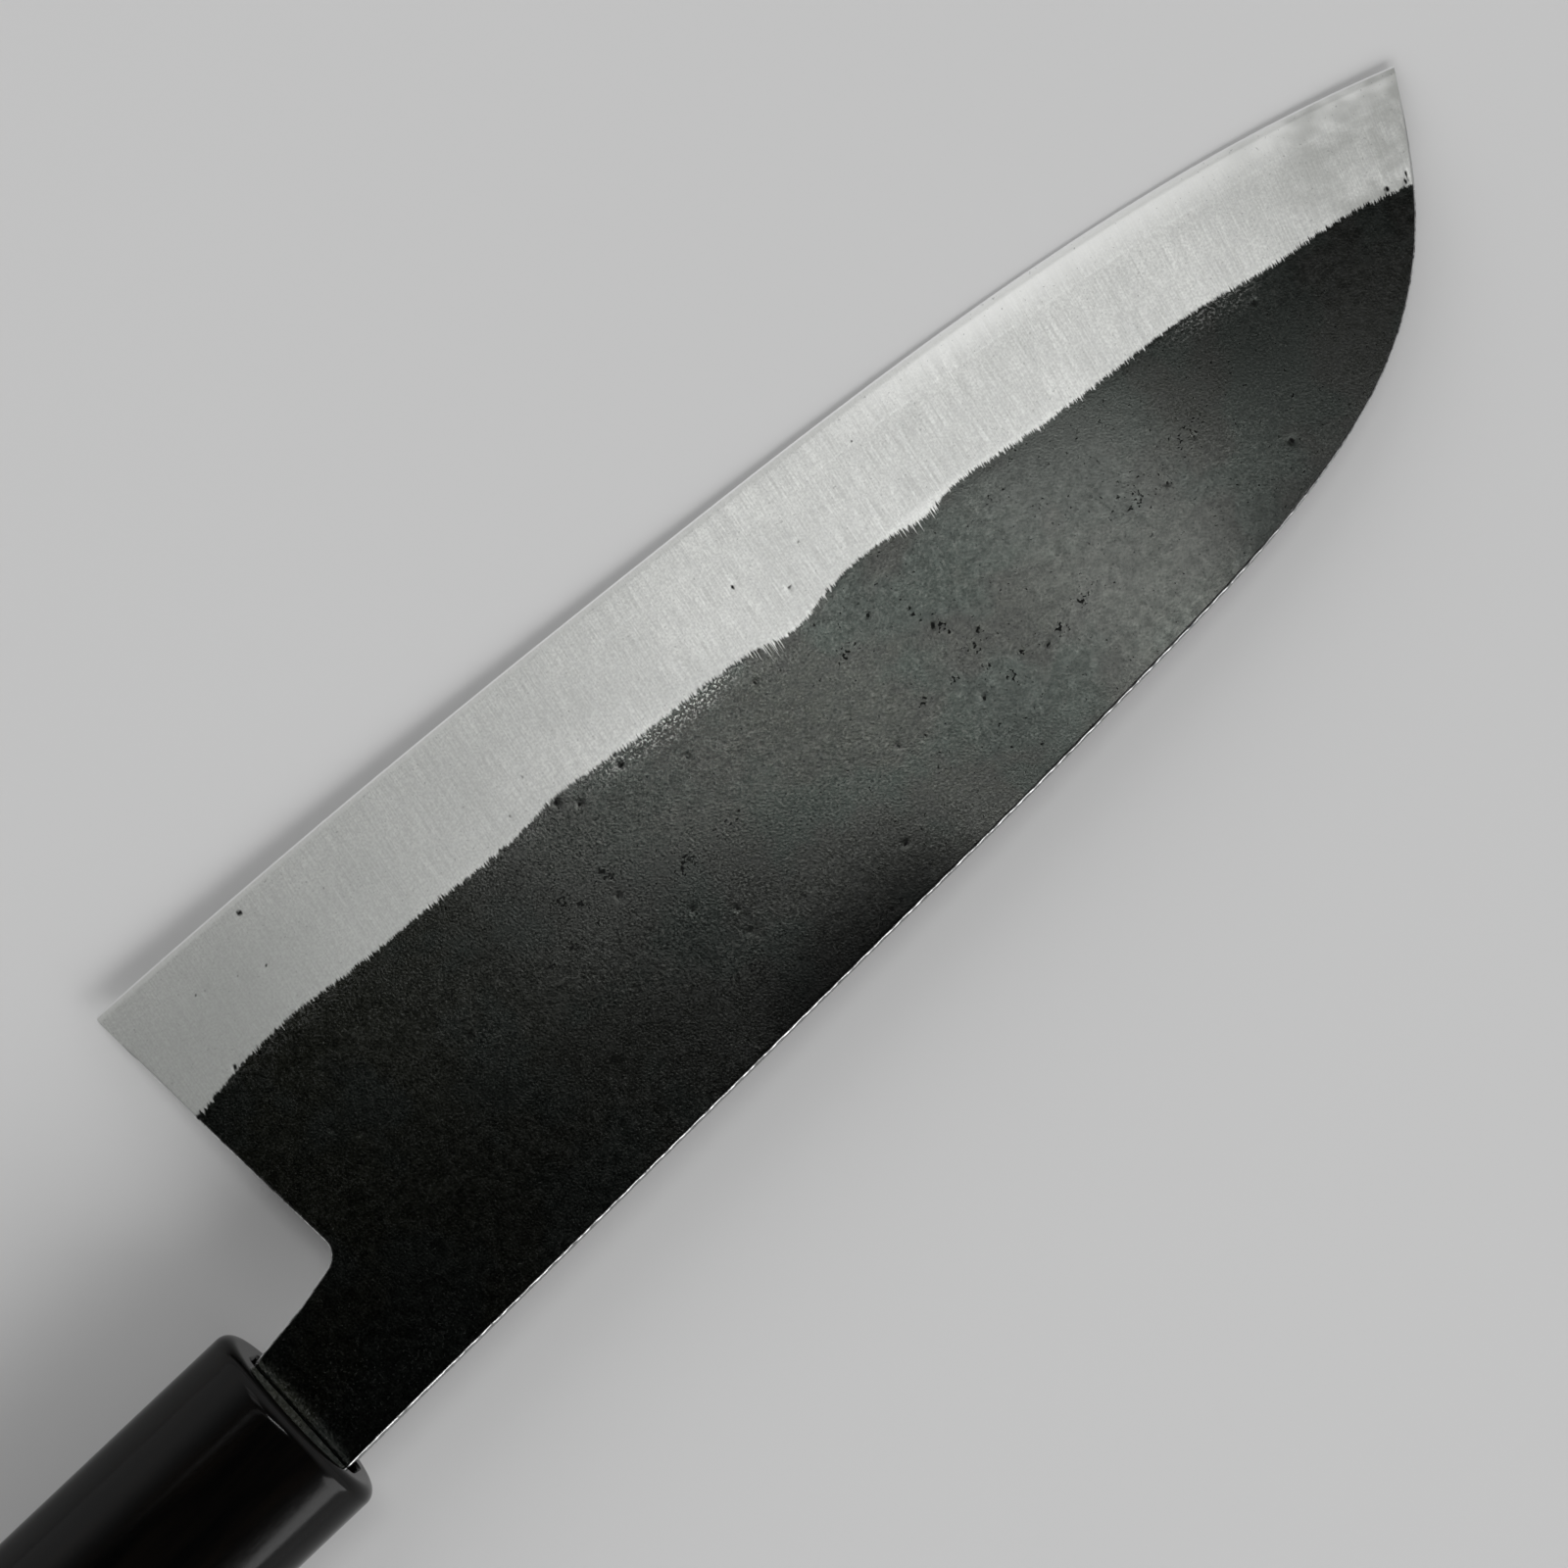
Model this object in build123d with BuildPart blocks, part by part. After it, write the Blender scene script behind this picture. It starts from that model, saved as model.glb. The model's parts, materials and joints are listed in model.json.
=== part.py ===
from build123d import *
import os

# A chef's knife with a laminated, double-bevel blade and an oval, dowel-built handle, in millimetres.
#
# The pieces are modelled in the knife's own axes: +X from the handle to the tip, +Y from the spine to
# the cutting edge, +Z out of the blade's left cheek. X = 0 is the ferrule's front face and Z = 0 is the
# blade's centre plane. The finished knife is then laid down as it rests on a level board: the ferrule's
# front rim and the belly of the cutting edge touch the board, with the spine raised.

# ---- Driving dimensions: blade outline ----
BLADE_LENGTH = 165.0  # heel to tip, along X
HEEL_X = 11.1
TIP_X = HEEL_X + BLADE_LENGTH
HEEL_CORNER = (HEEL_X, 43.95)
TIP = (TIP_X, 23.7)
EDGE_CURVE = (HEEL_CORNER, (47, 42.45), (87, 39.5), (127, 35.3), (155, 30.1), TIP)
SHOULDER_DEPTH = 4.0  # how far the neck reaches into the ferrule
SPINE_ROOT = (-SHOULDER_DEPTH, -7.5)
SPINE_BREAK = (89, -5.45)  # the spine is straight up to here
SPINE_DROP = (SPINE_BREAK, (117, -4.35), (141, -2.0), (156, 2.8), (166.5, 10.7), TIP)
SPINE_SLOPE_AT_TIP = (0.55, 0.83)
NECK_ROOT = (-SHOULDER_DEPTH, 6.15)
NECK_BEND = (7, 7.55)
NECK_CORNER = (13.6, 9.0)
NECK_RADIUS = 2.2
HEEL_RADIUS = 0.5

# ---- Driving dimensions: blade section ----
CHEEK_HALF_THICKNESS = 2.15  # at the ferrule, on the X axis
CHEEK_TAPER_X = 0.0070  # half thickness lost per mm towards the tip
CHEEK_TAPER_Y = 0.0140  # and per mm towards the edge
CORE_HALF_THICKNESS = 0.55
CORE_TAPER_X = 0.0012
EDGE_HALF_THICKNESS = 0.05
MICRO_BEVEL_WIDTH = 0.7
MICRO_BEVEL_TOP = 0.20  # half thickness where the micro bevel meets the wide bevel
SPINE_CHAMFER = 0.25
SEAT_FRONT_X = 1.0  # behind here the neck is filed flat, to fit the ferrule's mouth
SEAT_HALF_THICKNESS = 2.0
# Width of the wide bevel, square to the edge, at distances along the edge from the heel. It wavers,
# because the cheeks are left as forged and the bevel is ground by hand.
BEVEL_WIDTHS = (
    (0, 15.2),
    (12, 13.5),
    (40, 14.1),
    (52, 13.7),
    (68, 14.2),
    (81, 15.3),
    (92, 13.9),
    (120, 13.8),
    (140, 13.2),
    (166, 12.0),
)

# ---- Driving dimensions: tang ----
TANG_LENGTH = 85.0
TANG_ROOT_WIDTH = 9.5
TANG_END_WIDTH = 4.5
TANG_ROOT_HALF_THICKNESS = 1.9
TANG_END_HALF_THICKNESS = 1.2
TANG_END_CORE_HALF_THICKNESS = 0.3
BEDDING_THICKNESS = 0.4

# ---- Driving dimensions: handle ----
HANDLE_LENGTH = 131.0  # ferrule and body together
FERRULE_LENGTH = 34.0
FERRULE_WIDTH = 22.5
FERRULE_THICKNESS = 17.0
FERRULE_RIM_RADIUS = 1.5
MOUTH_WIDTH = 15.2
MOUTH_THICKNESS = 5.7
MOUTH_CORNER_RADIUS = 1.2
MOUTH_CENTRE_Y = -0.4
MOUTH_CHAMFER = 0.3
SEAL_SETBACK = 1.2  # how far the seal stands below the ferrule's face
BUTT_WIDTH = 25.0
BUTT_THICKNESS = 19.5
BUTT_RIM_RADIUS = 2.0
DOWEL_RADIUS = 6.25
DOWEL_FRONT_X = -12.0
DOWEL_LENGTH = 62.0
DOWEL_CHAMFER = 0.5

# ---- Driving dimensions: the attitude at rest ----
REST_ROLL = -8.2  # degrees about X: the edge is down and the spine up
REST_PITCH = 1.5  # degrees about Y: the tip is down

# ---- Working room for cutting tools ----
CLEAR = 6.0  # further than any surface of the blade is from its centre plane
GRIND_OVERRUN = 2.0  # how far a bevel's cutting tool runs on past the edge and the shoulder

core_surface = Plane(origin=(0, 0, CORE_HALF_THICKNESS), z_dir=(CORE_TAPER_X, 0, 1))
cheek_surface = Plane(origin=(0, 0, CHEEK_HALF_THICKNESS), z_dir=(CHEEK_TAPER_X, CHEEK_TAPER_Y, 1))


def cheek_height(point):
    """Height of the left cheek above the centre plane at a point of that plane."""
    return CHEEK_HALF_THICKNESS - CHEEK_TAPER_X * point.X - CHEEK_TAPER_Y * point.Y


def is_along_spine(edge):
    """Whether an edge of the cheek runs along the spine."""
    return edge.center().X > 0 and edge.center().Y < 0


def at_edge(distance):
    """Point on the cutting edge at a distance from the heel, and the direction square to it, inwards."""
    along = edge_curve.tangent_at(distance, position_mode=PositionMode.LENGTH)
    return edge_curve.position_at(distance, position_mode=PositionMode.LENGTH), Vector(along.Y, -along.X)


def ground_away(rulings):
    """Solid above a ruled surface through rulings, each from the edge to the shoulder of a bevel."""
    outer = [edge - (shoulder - edge).normalized() * GRIND_OVERRUN for edge, shoulder in rulings]
    inner = [shoulder + (shoulder - edge).normalized() * GRIND_OVERRUN for edge, shoulder in rulings]
    surface = Face.make_surface_from_curves(Spline(*outer), Spline(*inner))
    return extrude(surface, amount=CLEAR, dir=(0, 0, 1))


def tapered_bar(root_width, root_low, root_high, end_width, end_low, end_high, end_margin=0.0):
    """Tapered bar along the tang, from the neck's shoulder backwards."""
    with BuildPart() as bar:
        with BuildSketch(Plane.YZ.offset(-SHOULDER_DEPTH)):
            with Locations((0, (root_low + root_high) / 2)):
                Rectangle(root_width, root_high - root_low)
        with BuildSketch(Plane.YZ.offset(-SHOULDER_DEPTH - TANG_LENGTH - end_margin)):
            with Locations((0, (end_low + end_high) / 2)):
                Rectangle(end_width, end_high - end_low)
        loft()
    return bar.part


# ---- Blade outline, shared by the three layers ----
edge_curve = Spline(*EDGE_CURVE)

with BuildSketch() as blade_outline:
    with BuildLine():
        spine = Line(SPINE_ROOT, SPINE_BREAK)
        Spline(*SPINE_DROP, tangents=[spine % 1, SPINE_SLOPE_AT_TIP])
        add(edge_curve)
        Polyline(HEEL_CORNER, NECK_CORNER, NECK_BEND, NECK_ROOT, SPINE_ROOT)
    make_face()
    fillet(blade_outline.vertices().sort_by_distance(NECK_CORNER)[0], NECK_RADIUS)
    fillet(blade_outline.vertices().sort_by_distance(HEEL_CORNER)[0], HEEL_RADIUS)

# ---- What the stones take off the left side: the wide bevel and the micro bevel along the edge ----
before_heel = -8.0
past_tip = edge_curve.length + 6.0
widths = [(before_heel, BEVEL_WIDTHS[0][1]), *BEVEL_WIDTHS, (past_tip, BEVEL_WIDTHS[-1][1])]
wide_rulings = []
micro_rulings = []
for distance, width in widths:
    on_edge = min(max(distance, 0.0), edge_curve.length)
    edge_point, inward = at_edge(on_edge)
    edge_point += Vector(-inward.Y, inward.X) * (distance - on_edge)
    shoulder = edge_point + inward * width
    crease = edge_point + inward * MICRO_BEVEL_WIDTH + Vector(0, 0, MICRO_BEVEL_TOP)
    wide_rulings.append((crease, shoulder + Vector(0, 0, cheek_height(shoulder))))
    micro_rulings.append((edge_point + Vector(0, 0, EDGE_HALF_THICKNESS), crease))
left_grind = [ground_away(wide_rulings), ground_away(micro_rulings)]

# ---- Tang layers, and the socket that they are bedded in ----
core_at_root = CORE_HALF_THICKNESS + CORE_TAPER_X * SHOULDER_DEPTH
core_tang = tapered_bar(
    TANG_ROOT_WIDTH,
    -core_at_root,
    core_at_root,
    TANG_END_WIDTH,
    -TANG_END_CORE_HALF_THICKNESS,
    TANG_END_CORE_HALF_THICKNESS,
)
cladding_tang = tapered_bar(
    TANG_ROOT_WIDTH,
    core_at_root,
    TANG_ROOT_HALF_THICKNESS,
    TANG_END_WIDTH,
    TANG_END_CORE_HALF_THICKNESS,
    TANG_END_HALF_THICKNESS,
)
tang_socket = tapered_bar(
    TANG_ROOT_WIDTH + 2 * BEDDING_THICKNESS,
    -TANG_ROOT_HALF_THICKNESS - BEDDING_THICKNESS,
    TANG_ROOT_HALF_THICKNESS + BEDDING_THICKNESS,
    TANG_END_WIDTH + 2 * BEDDING_THICKNESS,
    -TANG_END_HALF_THICKNESS - BEDDING_THICKNESS,
    TANG_END_HALF_THICKNESS + BEDDING_THICKNESS,
    end_margin=BEDDING_THICKNESS,
)

# ---- Blade core: the hard steel layer, bare along the edge and at the tip ----
with BuildPart() as blade_core:
    add(blade_outline.sketch)
    extrude(amount=CLEAR, both=True)
    split(bisect_by=core_surface, keep=Keep.BOTTOM)
    split(bisect_by=Plane(origin=-core_surface.origin, z_dir=(-CORE_TAPER_X, 0, 1)), keep=Keep.TOP)
    for grind in left_grind:
        add(grind, mode=Mode.SUBTRACT)
        add(grind.mirror(Plane.XY), mode=Mode.SUBTRACT)
    add(core_tang)

# ---- Left cladding: the soft iron layer, scaled on its cheek and ground on its bevel ----
with BuildPart() as cladding_left:
    add(blade_outline.sketch)
    extrude(amount=CLEAR)
    split(bisect_by=core_surface, keep=Keep.TOP)
    split(bisect_by=cheek_surface, keep=Keep.BOTTOM)
    cheek = cladding_left.faces().filter_by(lambda face: face.normal_at().Z > 0.9)[0]
    chamfer(cheek.edges().filter_by(is_along_spine), SPINE_CHAMFER)
    add(left_grind[0], mode=Mode.SUBTRACT)
    with BuildSketch(Plane.XY.offset(SEAT_HALF_THICKNESS)):
        with Locations((SEAT_FRONT_X, 0)):
            Rectangle(CLEAR, FERRULE_WIDTH, align=(Align.MAX, Align.CENTER))
    extrude(amount=CLEAR, mode=Mode.SUBTRACT)
    add(cladding_tang)

# ---- Right cladding: the same layer on the other side ----
with BuildPart() as cladding_right:
    mirror(cladding_left.part, about=Plane.XY)

# ---- Ferrule: an oval collar with a mouth for the neck and a bore for the dowel ----
with BuildPart() as ferrule:
    with BuildSketch(Plane.YZ.offset(-FERRULE_LENGTH)):
        Ellipse(FERRULE_WIDTH / 2, FERRULE_THICKNESS / 2)
    extrude(amount=FERRULE_LENGTH)
    fillet(ferrule.edges().group_by(Axis.X)[-1], FERRULE_RIM_RADIUS)
    with BuildSketch(Plane.YZ):
        with Locations((MOUTH_CENTRE_Y, 0)):
            RectangleRounded(MOUTH_WIDTH, MOUTH_THICKNESS, MOUTH_CORNER_RADIUS)
    extrude(amount=-SHOULDER_DEPTH, mode=Mode.SUBTRACT)
    chamfer(ferrule.faces().sort_by(Axis.X)[-1].inner_wires()[0].edges(), MOUTH_CHAMFER)
    with BuildSketch(Plane.YZ.offset(-FERRULE_LENGTH)):
        Circle(DOWEL_RADIUS)
    extrude(amount=FERRULE_LENGTH + DOWEL_FRONT_X, mode=Mode.SUBTRACT)
    add(tang_socket, mode=Mode.SUBTRACT)

# ---- Handle body: a tapered oval, bored for the dowel and the end of the tang ----
with BuildPart() as handle_body:
    with BuildSketch(Plane.YZ.offset(-FERRULE_LENGTH)):
        Ellipse(FERRULE_WIDTH / 2, FERRULE_THICKNESS / 2)
    with BuildSketch(Plane.YZ.offset(-HANDLE_LENGTH)):
        Ellipse(BUTT_WIDTH / 2, BUTT_THICKNESS / 2)
    loft()
    fillet(handle_body.edges().group_by(Axis.X)[0], BUTT_RIM_RADIUS)
    with BuildSketch(Plane.YZ.offset(DOWEL_FRONT_X - DOWEL_LENGTH)):
        Circle(DOWEL_RADIUS)
    extrude(amount=DOWEL_LENGTH, mode=Mode.SUBTRACT)
    add(tang_socket, mode=Mode.SUBTRACT)

# ---- Dowel: joins the ferrule and the body, and is slotted for the tang ----
with BuildPart() as handle_dowel:
    with BuildSketch(Plane.YZ.offset(DOWEL_FRONT_X - DOWEL_LENGTH)):
        Circle(DOWEL_RADIUS)
    extrude(amount=DOWEL_LENGTH)
    chamfer(handle_dowel.edges().filter_by(GeomType.CIRCLE), DOWEL_CHAMFER)
    add(tang_socket, mode=Mode.SUBTRACT)

# ---- Bedding: the resin between the socket and the tang ----
with BuildPart() as tang_bedding:
    add(tang_socket)
    add(core_tang, mode=Mode.SUBTRACT)
    add(cladding_tang, mode=Mode.SUBTRACT)
    add(cladding_tang.mirror(Plane.XY), mode=Mode.SUBTRACT)

# ---- Seal: the resin ring round the neck, inside the ferrule's mouth ----
with BuildPart() as mouth_seal:
    with BuildSketch(Plane.YZ.offset(-SHOULDER_DEPTH)):
        with Locations((MOUTH_CENTRE_Y, 0)):
            RectangleRounded(MOUTH_WIDTH, MOUTH_THICKNESS, MOUTH_CORNER_RADIUS)
    extrude(amount=SHOULDER_DEPTH - SEAL_SETBACK)
    for layer in (blade_core, cladding_left, cladding_right):
        add(layer.part, mode=Mode.SUBTRACT)

# ---- Lay the knife down, with the origin under the middle of its box, and write each piece ----
pieces = {
    "blade_core": blade_core,
    "cladding_left": cladding_left,
    "cladding_right": cladding_right,
    "ferrule": ferrule,
    "handle_body": handle_body,
    "handle_dowel": handle_dowel,
    "tang_bedding": tang_bedding,
    "mouth_seal": mouth_seal,
}
tilt = Rotation(REST_ROLL, REST_PITCH, 0)
tilted_box = Compound([tilt * piece.part for piece in pieces.values()]).bounding_box()
at_rest = Pos(-tilted_box.center().X, -tilted_box.center().Y, -tilted_box.min.Z) * tilt

os.makedirs("parts", exist_ok=True)
for name, piece in pieces.items():
    piece.part = at_rest * piece.part
    piece.part.label = name
    export_step(piece.part, f"parts/{name}.step")
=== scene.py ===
import json
import math

import bmesh
import bpy
import numpy as np
from mathutils import Matrix, Vector


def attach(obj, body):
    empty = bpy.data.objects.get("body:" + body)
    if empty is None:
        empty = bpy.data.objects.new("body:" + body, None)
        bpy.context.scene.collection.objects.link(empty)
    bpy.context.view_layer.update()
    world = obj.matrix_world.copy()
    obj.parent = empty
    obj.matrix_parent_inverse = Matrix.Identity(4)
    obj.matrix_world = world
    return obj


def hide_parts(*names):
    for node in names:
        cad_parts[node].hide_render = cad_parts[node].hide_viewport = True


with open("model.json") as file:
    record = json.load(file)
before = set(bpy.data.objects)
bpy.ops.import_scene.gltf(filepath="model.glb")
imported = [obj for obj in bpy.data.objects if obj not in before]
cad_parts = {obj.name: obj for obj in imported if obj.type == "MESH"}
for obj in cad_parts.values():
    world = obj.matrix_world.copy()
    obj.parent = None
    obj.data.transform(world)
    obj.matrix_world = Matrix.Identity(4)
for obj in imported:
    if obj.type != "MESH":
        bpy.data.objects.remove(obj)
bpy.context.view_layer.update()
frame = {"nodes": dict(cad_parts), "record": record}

# A forged chef's knife on an oval handle. Lengths are in millimetres in the knife's own axes: X from the
# ferrule's front face to the tip, Y from the spine to the cutting edge, Z out of the left cheek.
# to_row() lays the points down in the row frame, in metres.
MM = 0.001

# ---- Blade outline and section: the numbers of the CAD source ----
TIP = (176.1, 23.7)
HEEL_CORNER = (11.1, 43.95)
EDGE_POINTS = (HEEL_CORNER, (47, 42.45), (87, 39.5), (127, 35.3), (155, 30.1), TIP)
SHOULDER_X = -4.0
SPINE_ROOT = (SHOULDER_X, -7.5)
SPINE_BREAK = (89, -5.45)
SPINE_DROP = (SPINE_BREAK, (117, -4.35), (141, -2.0), (156, 2.8), (166.5, 10.7), TIP)
SPINE_SLOPE_AT_TIP = (0.55, 0.83)
NECK_ROOT = (SHOULDER_X, 6.15)
NECK_BEND = (7, 7.55)
NECK_CORNER = (13.6, 9.0)
NECK_RADIUS = 2.2
HEEL_RADIUS = 0.5
CHEEK_HALF, CHEEK_TAPER_X, CHEEK_TAPER_Y = 2.15, 0.007, 0.014
CORE_HALF, CORE_TAPER_X = 0.55, 0.0012
EDGE_HALF, MICRO_WIDTH, MICRO_TOP = 0.05, 0.7, 0.2
SEAT_STEP_X, SEAT_HALF = (-1.1, -0.3), 2.0  # the filed seat's small step, here just inside the mouth
BEVEL_WIDTHS = ((-8, 15.2), (0, 15.2), (12, 13.5), (40, 14.1), (52, 13.7), (68, 14.2), (81, 15.3),
                (92, 13.9), (120, 13.8), (140, 13.2), (166, 12.0), (173, 12.0))
TANG_END_X, TANG_ROOT_WIDTH, TANG_END_WIDTH = -89.0, 9.5, 4.5
TANG_ROOT_HALF, TANG_END_HALF, TANG_END_CORE_HALF = 1.9, 1.2, 0.3

# ---- Handle: the numbers of the CAD source ----
HANDLE_LENGTH, FERRULE_LENGTH = 131.0, 34.0
FERRULE_WIDTH, FERRULE_THICKNESS, FERRULE_RIM = 22.5, 17.0, 1.5
BUTT_WIDTH, BUTT_THICKNESS, BUTT_RIM = 25.0, 19.5, 2.0
MOUTH_WIDTH, MOUTH_THICKNESS, MOUTH_CORNER, MOUTH_Y, MOUTH_CHAMFER = 15.2, 5.7, 1.2, -0.4, 0.3
DOWEL_RADIUS, DOWEL_FRONT_X, DOWEL_END_X = 6.25, -12.0, -74.0
BEDDING = 0.4

# ---- What only the look has: where the scale ends, and the marks in it ----
# The scale's lower border, forged and ground by hand, so it wavers.
BORDER = ((-20, 29.0), (12.2, 29.0), (17, 29.7), (24, 30.2), (28.5, 30.0), (33, 29.45), (45, 28.45),
          (57, 27.75), (60, 27.95), (66, 27.35), (78, 25.9), (84, 25.25), (87, 24.6), (90, 23.75), (93, 23.8),
          (96, 24.3), (99, 24.45), (102, 24.25), (105, 23.85), (108, 23.0), (111, 23.2), (117, 22.7),
          (123, 21.7), (135, 20.4), (141, 19.7), (147, 18.45), (153, 17.1), (159, 16.25), (165, 14.65),
          (169, 13.2), (180, 9.0))
# Single dents in the scale: x, y, radius.
PITS = ((60.7, 27.4, 0.26), (68.2, 25.6, 0.26), (73.7, 21.6, 0.16), (63.4, 9.7, 0.22), (72.3, 2.7, 0.18),
        (97.1, 19.4, 0.2), (104.0, 10.5, 0.18), (99.8, 5.0, 0.2), (108.3, 4.5, 0.2), (38.0, 16.0, 0.26),
        (90.0, 7.5, 0.17), (85.3, 9.6, 0.14), (134.0, 9.8, 0.15), (21.5, 18.7, 0.2), (23.5, 16.3, 0.2))
# Zones where the scale is finely pitted: centre x, y, half width x, y.
PITTED = ((54.2, 19.6, 1.3, 1.5), (55.5, 18.0, 0.7, 0.9), (51.8, 15.2, 1.0, 0.6), (49.0, 15.4, 0.5, 0.5),
          (55.3, 15.2, 0.6, 0.5), (59.5, 18.2, 0.8, 1.3), (72.0, 14.0, 2.2, 1.2), (66.5, 13.8, 2.0, 1.0),
          (101.8, 13.4, 0.5, 1.4), (102.6, 9.6, 0.9, 0.8), (104.2, 10.6, 0.4, 0.7), (102.4, 7.0, 0.5, 0.6),
          (103.4, 4.6, 0.6, 0.9), (105.8, 5.9, 0.5, 0.5), (110.5, 4.8, 0.9, 0.8), (99.0, 8.4, 0.8, 0.4),
          (95.0, 9.0, 0.8, 0.4), (114.0, 5.5, 1.2, 0.7), (100.6, 16.0, 0.5, 1.5), (92.5, 18.2, 1.5, 0.6),
          (125.0, 9.5, 3.5, 1.6), (134.0, 10.5, 2.5, 1.2), (5.0, -1.0, 5.0, 5.0), (14.0, -4.0, 7.0, 2.0),
          (30.0, -5.2, 7.0, 1.5), (63.0, 1.0, 3.5, 1.6), (65.5, -4.0, 3.5, 1.5), (76.0, -4.4, 5.0, 1.2),
          (40.0, 20.0, 2.0, 1.0), (24.5, -3.5, 1.2, 0.8))
# Where bright strokes run up into the scale: distance along the edge, half width, strength.
FEATHERED = ((77.6, 2.6, 14.0), (97.5, 5.0, 7.5), (84.0, 8.0, 3.0), (120.0, 22.0, 2.5), (18.0, 16.0, 2.5))
# Where the scale below the border is worn in specks: distance along the edge, half width, how much.
WORN = ((64.0, 14.0, 1.00), (16.0, 13.0, 0.5), (44.0, 9.0, 0.3), (137.0, 8.0, 0.4))
# Marks in the ground bevel: x, y, radius.
BEVEL_MARKS = ((29.3, 41.7, 0.3), (20.4, 38.4, 0.16), (21.5, 38.0, 0.18), (24.9, 36.8, 0.15),
               (27.8, 35.7, 0.18), (37.4, 37.4, 0.15), (56.4, 29.6, 0.17), (60.0, 31.8, 0.15),
               (89.1, 31.2, 0.19), (97.1, 30.0, 0.17), (93.3, 27.1, 0.18), (108.4, 33.9, 0.15),
               (110.8, 31.3, 0.15), (18.5, 30.1, 0.28), (19.3, 29.8, 0.2), (12.4, 28.9, 0.3),
               (27.6, 29.9, 0.2), (166.3, 14.75, 0.34), (168.3, 14.0, 0.3), (168.9, 14.6, 0.2))


# ---- Knife axes, from the record's mounts ----
mounts = {m["name"]: m for m in frame["record"]["mounts"]}
axis_x = -np.array(mounts["butt"]["axis"])
axis_z = np.array(mounts["left_cheek"]["axis"]) - np.array(mounts["right_cheek"]["axis"])
axis_x, axis_z = axis_x / np.linalg.norm(axis_x), axis_z / np.linalg.norm(axis_z)
KNIFE_AXES = np.array([axis_x, np.cross(axis_z, axis_x), axis_z])
KNIFE_ORIGIN = np.array(mounts["butt"]["pos_m"]) + HANDLE_LENGTH * MM * axis_x


def to_row(points):
    """Points of the knife's axes, in millimetres, as points of the row frame, in metres."""
    return KNIFE_ORIGIN + (np.asarray(points, float) * MM) @ KNIFE_AXES


# ---- Curves and noise ----
BISECTIONS = 40


def end_slope(t, p):
    """Slope at t[0] of the polynomial through four points."""
    slope = np.zeros(p.shape[1])
    for i in range(4):
        others = [j for j in range(4) if j != i]
        below = np.prod([t[i] - t[j] for j in others])
        above = sum(np.prod([t[0] - t[k] for k in others if k != j]) for j in others)
        slope += p[i] * above / below
    return slope


def smooth_curve(points, start=None, end=None, samples=4000):
    """Samples of the cubic spline through points, with the directions at its ends if they are given."""
    p = np.array(points, float)
    t = np.concatenate([[0.0], np.cumsum(np.linalg.norm(np.diff(p, axis=0), axis=1))])
    first, last = end_slope(t[:4], p[:4]), end_slope(t[::-1][:4], p[::-1][:4])
    if start is not None:
        first = np.array(start) / np.linalg.norm(start) * np.linalg.norm(first)
    if end is not None:
        last = np.array(end) / np.linalg.norm(end) * np.linalg.norm(last)
    h = np.diff(t)
    a, b = np.eye(len(p)), np.zeros_like(p)
    b[0], b[-1] = first, last
    for i in range(1, len(p) - 1):
        a[i, i - 1 : i + 2] = 1 / h[i - 1], 2 / h[i - 1] + 2 / h[i], 1 / h[i]
        b[i] = 3 * (p[i] - p[i - 1]) / h[i - 1] ** 2 + 3 * (p[i + 1] - p[i]) / h[i] ** 2
    m = np.linalg.solve(a, b)
    s = np.linspace(0, t[-1], samples)
    i = np.clip(np.searchsorted(t, s, side="right") - 1, 0, len(h) - 1)
    k = ((s - t[i]) / h[i])[:, None]
    w = h[i][:, None]
    return (
        p[i] * (1 + 2 * k) * (1 - k) ** 2
        + p[i + 1] * k * k * (3 - 2 * k)
        + m[i] * w * k * (1 - k) ** 2
        - m[i + 1] * w * k * k * (1 - k)
    )


def lengths(points):
    """Distance along a line at each of its points."""
    return np.concatenate([[0.0], np.cumsum(np.linalg.norm(np.diff(points, axis=0), axis=1))])


def along(points, distances):
    """Points of a line at distances along it."""
    d = lengths(points)
    return np.stack([np.interp(distances, d, points[:, k]) for k in range(points.shape[1])], -1)


def bisect(low, high, is_below):
    """The place between low and high up to which is_below holds."""
    for _ in range(BISECTIONS):
        middle = (low + high) / 2
        below = is_below(middle)
        low, high = np.where(below, middle, low), np.where(below, high, middle)
    return low


def smoothstep(x, low, high):
    k = np.clip((x - low) / (high - low), 0, 1)
    return k * k * (3 - 2 * k)


def noise(x, y, seed):
    """Smooth noise from about -1 to 1, with features one unit across."""
    rng = np.random.default_rng(seed)
    turn, order = rng.uniform(0, 2 * np.pi, 256), rng.permutation(256)
    xi, yi = np.floor(x).astype(int), np.floor(y).astype(int)
    xf, yf = x - xi, y - yi

    def corner(dx, dy):
        angle = turn[order[(order[(xi + dx) % 256] + yi + dy) % 256]]
        return np.cos(angle) * (xf - dx) + np.sin(angle) * (yf - dy)

    u, v = xf**3 * (xf * (xf * 6 - 15) + 10), yf**3 * (yf * (yf * 6 - 15) + 10)
    low = corner(0, 0) * (1 - u) + corner(1, 0) * u
    high = corner(0, 1) * (1 - u) + corner(1, 1) * u
    return 1.5 * (low * (1 - v) + high * v)


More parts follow.
